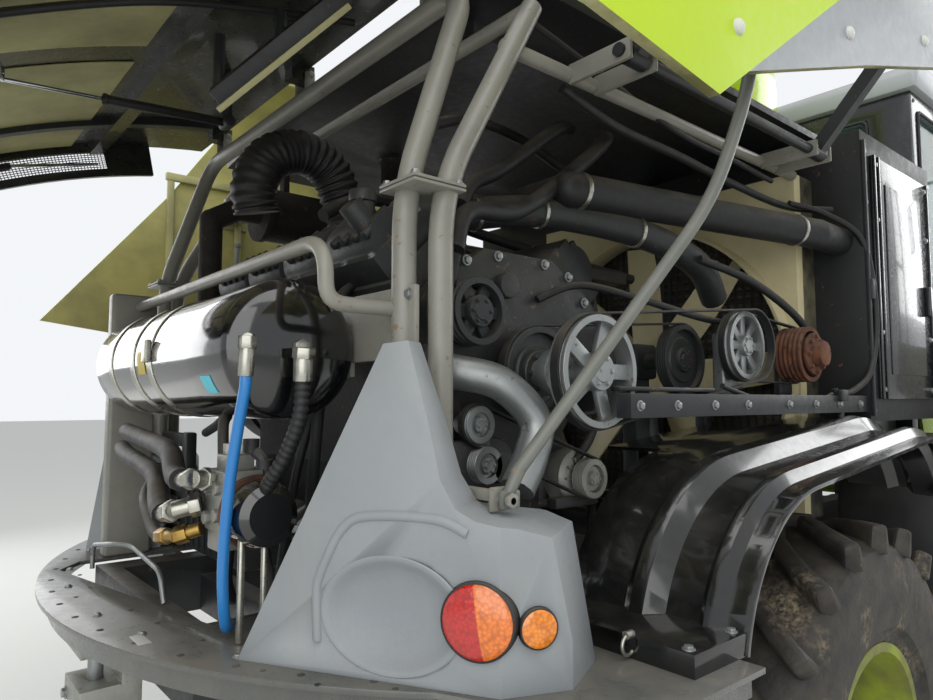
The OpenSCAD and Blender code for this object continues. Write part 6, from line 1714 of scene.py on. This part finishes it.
@dataclass
class PanelTrim(Assembly):
    """Dome bolts on the raised side panels and the ribs inside them.

    Attributes:
        arm: Length of the arms that carry a panel, in millimetres.
        shut: How far the arms hang below the level while it is shut, in degrees.
        shut_face: How far its outer face then lies from the machine's middle, in millimetres.
        raised: How far the arms stand above the level here, in degrees, by side.
    """

    arm: float = 500
    shut: float = 49
    shut_face: float = 1470
    raised: tuple[tuple[str, int, float], ...] = (("right", -1, 49), ("left", 1, 14))

    def build(self) -> None:
        """Builds the trim of both panels."""
        for side, s, deg in self.raised:
            lift = self.arm * (math.sin(math.radians(deg)) + math.sin(math.radians(self.shut)))
            out = self.arm * (math.cos(math.radians(deg)) - math.cos(math.radians(self.shut)))
            face = self.shut_face + out
            body = "panel_" + side
            domes = [lathe("dome", [(0.0005, -0.011), (0.008, -0.010), (0.014, -0.006), (0.0165, 0.0),
                    (0.0165, 0.004)], rear(x, -face, z + lift), 28)
                for x, z in ((-929, 1545), (-400, 1720), (150, 1890))]
            for item in domes:
                if s > 0:
                    item.data.transform(MIRROR)
                    item.data.flip_normals()
            self.unite("dome_bolts_" + side, domes, Tone.WHITE, body=body)
            ribs = []
            for x in (-1040, -680, -330, 20, 370):
                y = sorted((s * (face - 22), s * (face - 46)))
                ribs.append(box_mm("panel_rib", (x, y[0], 1700 + lift + (x + 680) * 0.28),
                        (x + 34, y[1], 2330 + lift - 60), 0.006))
            y = sorted((s * (face - 22), s * (face - 52)))
            ribs.append(box_mm("panel_rail", (-1050, y[0], 2240 + lift), (620, y[1], 2280 + lift), 0.006))
            for x in (-700, 350):
                pair = sorted((s * (face - 23), s * (face - 34)))
                ribs.append(box_mm("panel_pad", (x - 90, pair[0], 2470 - 377 + lift - 60),
                        (x + 90, pair[1], 2470 - 377 + lift + 60), 0.004))
            self.unite("panel_ribs_" + side, ribs, Tone.KHAKI, "lime_plastic", body)


@dataclass
class DriverPlace(Assembly):
    """The driver's seat with its cloth cushions, the console, the column and the wheel.

    Attributes:
        floor: Height of the cab's floor, in millimetres.
        lean: How far the back of the seat leans, in degrees.
        wheel_tilt: How far the steering wheel is tilted, in degrees.
    """

    floor: float = 1835.0
    lean: float = -12
    wheel_tilt: float = -24

    def cushion(self, name: str, low: Point, high: Point, tilt: float, pivot: Point) -> Piece:
        """Makes a stuffed cushion with a crowned face between two corners, tilted about a pivot."""
        made = block(name, low, high, min(b - a for a, b in zip(low, high)) * 0.36, 5)
        subdivided(made, 2)
        mid = (Vector(low) + Vector(high)) / 2
        half = (Vector(high) - Vector(low)) / 2
        for vertex in made.data.vertices:
            u = (vertex.co - mid)
            edge = max(abs(u.x / half.x), abs(u.y / half.y), abs(u.z / half.z))
            groove = math.exp(-((abs(u.y) - half.y * 0.55) / 0.012) ** 2) * 0.006
            vertex.co -= (u.normalized() * groove) if edge > 0.5 else Vector((0, 0, 0))
        made.data.transform(about("Y", tilt, pivot))
        modify(made, "SUBSURF", levels=1)
        pick(made)
        bpy.ops.object.shade_smooth()
        return made

    def build(self) -> None:
        """Builds the place in place of its plain node."""
        z = self.floor
        fx = WHEELBASE
        base = self.cushion("seat_cushion", rear(fx - 375, -245, z + 275), rear(fx + 125, 245, z + 379), 0,
            rear(fx, 0, z))
        self.keep(base, Tone.SEAT)
        back = self.cushion("seat_back", rear(fx - 426, -235, z + 385), rear(fx - 316, 235, z + 975), self.lean,
            rear(fx - 370, 0, z + 370))
        self.keep(back, Tone.SEAT)
        head = self.cushion("head_rest", rear(fx - 530, -145, z + 972), rear(fx - 450, 145, z + 1118), self.lean,
            rear(fx - 490, 0, z + 960))
        self.keep(head, Tone.SEAT)
        frame_parts = [
            box_mm("seat_pan", (fx - 380, -250, z + 259), (fx + 130, 250, z + 282), 0.008),
            box_mm("pedestal_top", (fx - 330, -180, z + 200), (fx + 60, 180, z + 260), 0.02),
            box_mm("pedestal_low", (fx - 330, -180, z), (fx + 60, 180, z + 50), 0.015),
            box_mm("console", (fx - 260, -450, z + 259), (fx + 330, -270, z + 500), 0.035, 4),
            box_mm("console_leg", (fx - 200, -420, z), (fx - 60, -170, z + 270), 0.015),
            box_mm("column_foot", (fx + 420, -60, z), (fx + 520, 60, z + 120), 0.02),
            drum_mm("column", (fx + 460, 0, z + 60), (fx + 345, 0, z + 605), 0.032, 0.004, 28),
            box_mm("key_pad", (fx + 120, -440, z + 498), (fx + 310, -285, z + 516), 0.006),
            drum_mm("lever", (fx + 60, -360, z + 495), (fx + 72, -360, z + 600), 0.012, 0.003, 20),
            box_mm("lever_grip", (fx + 45, -385, z + 585), (fx + 105, -335, z + 675), 0.02, 4)]
        for k in range(7):
            frame_parts.append(box_mm("bellows", (fx - 322 + (k % 2) * 6, -172, z + 50 + k * 21),
                    (fx + 52 - (k % 2) * 6, 172, z + 73 + k * 21), 0.009))
        for y in (-55, 55):
            frame_parts.append(drum_mm("head_post", (fx - 497, y, z + 925), (fx - 506, y, z + 985), 0.008, 0.001, 16))
        body = joined("driver_place", frame_parts)
        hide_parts("operator_station")
        self.keep(body, Tone.PLASTIC)
        centre = Vector(rear(fx + 330, 0, z + 640))
        turn = Matrix.Translation(centre) @ Matrix.Rotation(math.radians(self.wheel_tilt), 4, "Y")
        deselect()
        bpy.ops.mesh.primitive_torus_add(major_radius=0.18, minor_radius=0.0145, major_segments=56, minor_segments=16)
        rim = bpy.context.active_object
        spokes = [rim, drum("boss", (0, 0, -0.014), (0, 0, 0.014), 0.05, 0.006)]
        for k in range(3):
            spoke = block("wheel_spoke", (0.03, -0.013, -0.007), (0.178, 0.013, 0.007), 0.004)
            spoke.data.transform(Matrix.Rotation(math.radians(k * 120), 4, "Z"))
            spokes.append(spoke)
        wheel = joined("steering_wheel", spokes)
        wheel.data.transform(turn)
        self.keep(wheel, Tone.PLASTIC)


@dataclass
class CabTrim(Assembly):
    """Window seals, mirror glasses, work lamps, wiper and bolts."""

    def seal(self, corners: Sequence[Point], name: str = "seal") -> Piece:
        """Lays a rubber seal round a window."""
        run = bent([corners[-1]] + list(corners) + [corners[0], corners[1]], 0.04, 5)
        keep = run[6:-6]
        return tube(name, keep + [keep[0]], 0.009, 1, sides=3)

    def build(self) -> None:
        """Builds the trim."""
        fx = WHEELBASE
        seals = [self.seal(rears((fx - 670, -834, 2250), (fx + 640, -834, 2250), (fx + 640, -834, 3230),
                (fx - 670, -834, 3230))),
            self.seal(rears((fx - 670, 834, 2350), (fx - 180, 834, 2350), (fx - 180, 834, 3230),
                (fx - 670, 834, 3230))),
            self.seal(rears((fx - 763, -600, 2500), (fx - 763, 600, 2500), (fx - 763, 600, 3220),
                (fx - 763, -600, 3220)))]
        self.unite("window_seals", seals, Tone.HOSE, "cab_black")
        glasses, lamps, housings = [], [], []
        for s in (-1, 1):
            y = sorted((s * 1640, s * 1420))
            glasses.append(box_mm("mirror_glass", (fx + 926, y[0], 2785), (fx + 930, y[1], 3205), 0.001))
            for at in (300, 600):
                lamps.append(drum_mm("work_glass", (fx + 889, s * at, 3284), (fx + 895, s * at, 3284), 0.036, 0.003,
                        36))
                housings.append(drum_mm("work_rim", (fx + 884, s * at, 3284), (fx + 893, s * at, 3284), 0.043, 0.003,
                        36))
        self.unite("mirror_glasses", glasses, Tone.CHROME)
        self.unite("work_glasses", lamps, Tone.WHITE)
        self.unite("work_rims", housings, Tone.PLASTIC)
        wiper = [tube("wiper_arm", rears((fx + 885, -40, 2160), (fx + 884, -120, 2420), (fx + 872, -260, 2700)),
                0.007, 4), drum_mm("wiper_boss", (fx + 860, -40, 2150), (fx + 896, -40, 2152), 0.022, 0.003, 20),
            tube("wiper_blade", rears((fx + 880, -240, 2430), (fx + 872, -262, 2700), (fx + 858, -285, 2990)), 0.006,
                4)]
        self.unite("wiper", wiper, Tone.PLASTIC)
        heads = [rear(x, s * 832, z) for s in (-1, 1) for x, z in ((fx - 720, 2260), (fx - 720, 2800),
                (fx - 720, 3280), (fx + 720, 2260), (fx + 760, 2800))]
        rows = [bolt_row("cab_bolts", [h for h in heads if (h[1] < 0) == (s < 0)], (0, s, 0), 0.009, 0.006)
            for s in (-1, 1)]
        self.unite("cab_bolts", rows, Tone.STEEL)


@dataclass
class CropTrim(Assembly):
    """Flanges, bolts and line of the spout, and the bolts and roll caps of the intake."""

    def build(self) -> None:
        """Builds the trim."""
        fx = WHEELBASE
        turret = fx - 1130
        ring = [rear(turret + 275 * math.cos(a), 275 * math.sin(a), 3010.5) for a in turns(16)]
        self.keep(bolt_row("turret_bolts", ring, (0, 0, 1), 0.012, 0.010), Tone.STEEL, body="spout_head")
        flanges = []
        for x in (turret - 292 - 6, turret - 292 - 1400, turret - 292 - 2690):
            for z0, z1 in ((3552, 3560), (3880, 3888)):
                flanges.append(box_mm("duct_flange", (x - 14, -186, z0), (x - 2, 186, z1), 0.002))
        self.unite("duct_flanges", flanges, Tone.LIME, "lime_paint", "spout_arm")
        spots = [rear(turret - 292 - k * 675 - 4, y, 3894) for k in (1, 2, 3) for y in (-150, -50, 50, 150)]
        self.keep(bolt_row("duct_bolts", spots, (0, 0, 1), 0.009), Tone.STEEL, body="spout_arm")
        line = tube("spout_line", rears((turret - 320, 192, 3700), (turret - 900, 196, 3690),
                (turret - 1700, 196, 3705), (turret - 2500, 194, 3720), (turret - 2860, 190, 3790)), 0.009)
        self.keep(line, Tone.HOSE, body="spout_arm")
        face = fx + 1676
        rows = [bolt_row("frame_bolts", [rear(face - 2.4, s * 475, z) for z in (960, 1130, 1300, 1470)], (1, 0, 0),
                0.013, 0.0004) for s in (-1, 1)]
        sides = [bolt_row("side_bolts", [rear(x, s * 430, z) for x in (fx + 700, fx + 950, fx + 1200, fx + 1420)
                for z in (930, 1530)], (0, s, 0), 0.011, 0.009) for s in (-1, 1)]
        self.unite("intake_bolts", rows + sides, Tone.STEEL, body="intake")
        caps = [drum_mm("roll_cap", (fx + 1486, s * 431, z), (fx + 1486, s * 446, z), 0.062, 0.004, 36)
            for s in (-1, 1) for z in (1370, 1090)]
        self.unite("roll_caps", caps, Tone.STEEL, body="intake")


@dataclass
class SideBay(Assembly):
    """Cables, bolts and brackets on the dark bulkhead on the right, and the plain cover over its louvres."""

    def build(self) -> None:
        """Builds the cables, the brackets and the cover."""
        runs = [
            ("cable_a", [(420, -940, 2330), (560, -1010, 2300), (690, -1080, 2220), (740, -1102, 2050),
                (745, -1104, 1850), (690, -1096, 1700), (610, -1075, 1640), (520, -1062, 1620)], 0.011),
            ("cable_b", [(-760, -880, 2440), (-520, -870, 2400), (-200, -880, 2380), (140, -890, 2350),
                (420, -930, 2320), (640, -1000, 2330)], 0.013),
            ("cable_c", [(-900, -905, 2560), (-600, -900, 2510), (-250, -905, 2440), (60, -915, 2420),
                (330, -920, 2400)], 0.009),
            ("cable_d", [(460, -1060, 1640), (470, -1075, 1560), (440, -1080, 1500), (360, -1075, 1480),
                (200, -1068, 1490)], 0.010),
            ("cable_e", [(-300, -1062, 1640), (-100, -1066, 1600), (200, -1062, 1570), (430, -1064, 1620)], 0.008)]
        self.lay(runs)
        spots = [rear(x, -1084, 1586) for x in (-720, -560, -380, -200, 60, 250, 440, 620)]
        spots += [rear(x, -1090, z) for x in (730, 1450) for z in (1560, 1760, 1960, 2160, 2360, 2560)]
        self.keep(bolt_row("beam_bolts", spots, (0, -1, 0), 0.010, 0.009), Tone.STEEL)
        parts = [box_mm("door_frame", (706, -1104, 1540), (722, -1088, 2600)),
            box_mm("latch", (712, -1112, 1980), (748, -1088, 2060), 0.006),
            box_mm("clip", (430, -1100, 1596), (480, -1078, 1636), 0.004),
            box_mm("cable_tray", (-740, -1040.5, 1622), (-300, -1010, 1634))]
        self.unite("bay_brackets", parts, Tone.CHASSIS, "chassis_black")
        cover = [box_mm("sheet", (786, -1102, 1604), (1404, -1090.5, 2556), 0.004),
            box_mm("pressing", (900, -1107, 1700), (1300, -1101, 2460), 0.005, 3)]
        cover += [box_mm("fold", (x, -1110, 1604), (x + 14, -1100, 2556)) for x in (786, 830, 1390)]
        cover += [box_mm("handle", (1322, -1126, 1960), (1346, -1100, 2090), 0.006, 3)]
        self.unite("side_cover", cover, Tone.CAB, "cab_black")
        spots = [rear(x, -1102, z) for x in (812, 1368) for z in (1640, 1860, 2300, 2520)]
        self.keep(bolt_row("cover_bolts", spots, (0, -1, 0), 0.009, 0.008), Tone.STEEL)


def main() -> None:
    """Builds the scene: stage, camera, then the machine's assemblies in order."""
    logging.basicConfig(level=logging.INFO, format="%(message)s")
    set_camera(Viewpoint())
    set_stage()
    for assembly in (CadSkin(), TyreSet(), LampUnits(), TankBay(), EngineDress(), PostFrame(), PulleyTrain(),
            CoolingPack(), DeckTrim(), TailTrim(), PanelTrim(), DriverPlace(), CabTrim(), CropTrim(), SideBay()):
        assembly.build()
        assembly.report()


@dataclass(frozen=True)
class Viewpoint:
    """Where the photograph was taken from.

    Attributes:
        place: The camera's place.
        heading: The direction that it faces, in degrees from +X towards +Y.
        rise: How far it looks up, as a slope.
        lens: Focal length, in millimetres.
        sensor: Width of the picture behind the lens, in millimetres.
        reach: How far it sees.
    """

    place: Point = (-3.18, -2.10, 1.60)
    heading: float = 49.8
    rise: float = 50 / 693
    lens: float = 26.74
    sensor: float = 36.0
    reach: float = 200


def set_camera(view: Viewpoint) -> None:
    """Places the camera as in the photograph."""
    deselect()
    data = bpy.data.cameras.new("view")
    data.lens = view.lens
    data.sensor_width = view.sensor
    data.clip_end = view.reach
    camera = bpy.data.objects.new("view", data)
    bpy.context.collection.objects.link(camera)
    heading, rise = math.radians(view.heading), math.atan(view.rise)
    look = Vector((math.cos(heading) * math.cos(rise), math.sin(heading) * math.cos(rise), math.sin(rise)))
    camera.location = view.place
    camera.rotation_euler = look.to_track_quat("-Z", "Y").to_euler()
    bpy.context.scene.camera = camera


def set_stage() -> None:
    """Lays the floor and hangs the lights and the pale surroundings."""
    bpy.context.scene.view_settings.view_transform = "Standard"
    deselect()
    bpy.ops.mesh.primitive_plane_add(size=120, location=(0, 0, 0))
    floor = bpy.context.active_object
    floor.name = "floor"
    floor.data.materials.append(finish(Tone.STAGE))
    world = bpy.data.worlds.new("studio")
    bpy.context.scene.world = world
    world.use_nodes = True
    tree = world.node_tree
    back = tree.nodes["Background"]
    path = tree.nodes.new("ShaderNodeLightPath")
    strength = tree.nodes.new("ShaderNodeMapRange")
    seen = tree.nodes.new("ShaderNodeMath")
    seen.operation = "MAXIMUM"
    tree.links.new(path.outputs["Is Camera Ray"], seen.inputs[0])
    tree.links.new(path.outputs["Is Transmission Ray"], seen.inputs[1])
    tree.links.new(seen.outputs[0], strength.inputs["Value"])
    strength.inputs["To Min"].default_value = 0.75
    strength.inputs["To Max"].default_value = 0.95
    tree.links.new(strength.outputs[0], back.inputs["Strength"])
    back.inputs["Color"].default_value = (0.95, 0.97, 1.0, 1)
    for name, spot, size, power, aim in (
        ("sky", (-2.0, -3.0, 9.0), 8.0, 330.0, (-1.0, 0.0, 1.0)),
        ("key", (-7.5, -5.5, 3.8), 8.0, 330.0, (-1.6, -0.3, 1.6)),
        ("fill", (-4.0, 6.5, 3.5), 4.0, 120.0, (-1.2, 0.0, 1.8)),
        ("front", (9.0, -3.0, 5.0), 5.0, 260.0, (1.5, 0.0, 1.6)),
    ):
        light = bpy.data.lights.new(name, "AREA")
        light.size = size
        light.energy = power
        lamp = bpy.data.objects.new(name, light)
        bpy.context.collection.objects.link(lamp)
        lamp.location = spot
        lamp.rotation_euler = (Vector(aim) - Vector(spot)).to_track_quat("-Z", "Y").to_euler()


if __name__ == "__main__":
    main()
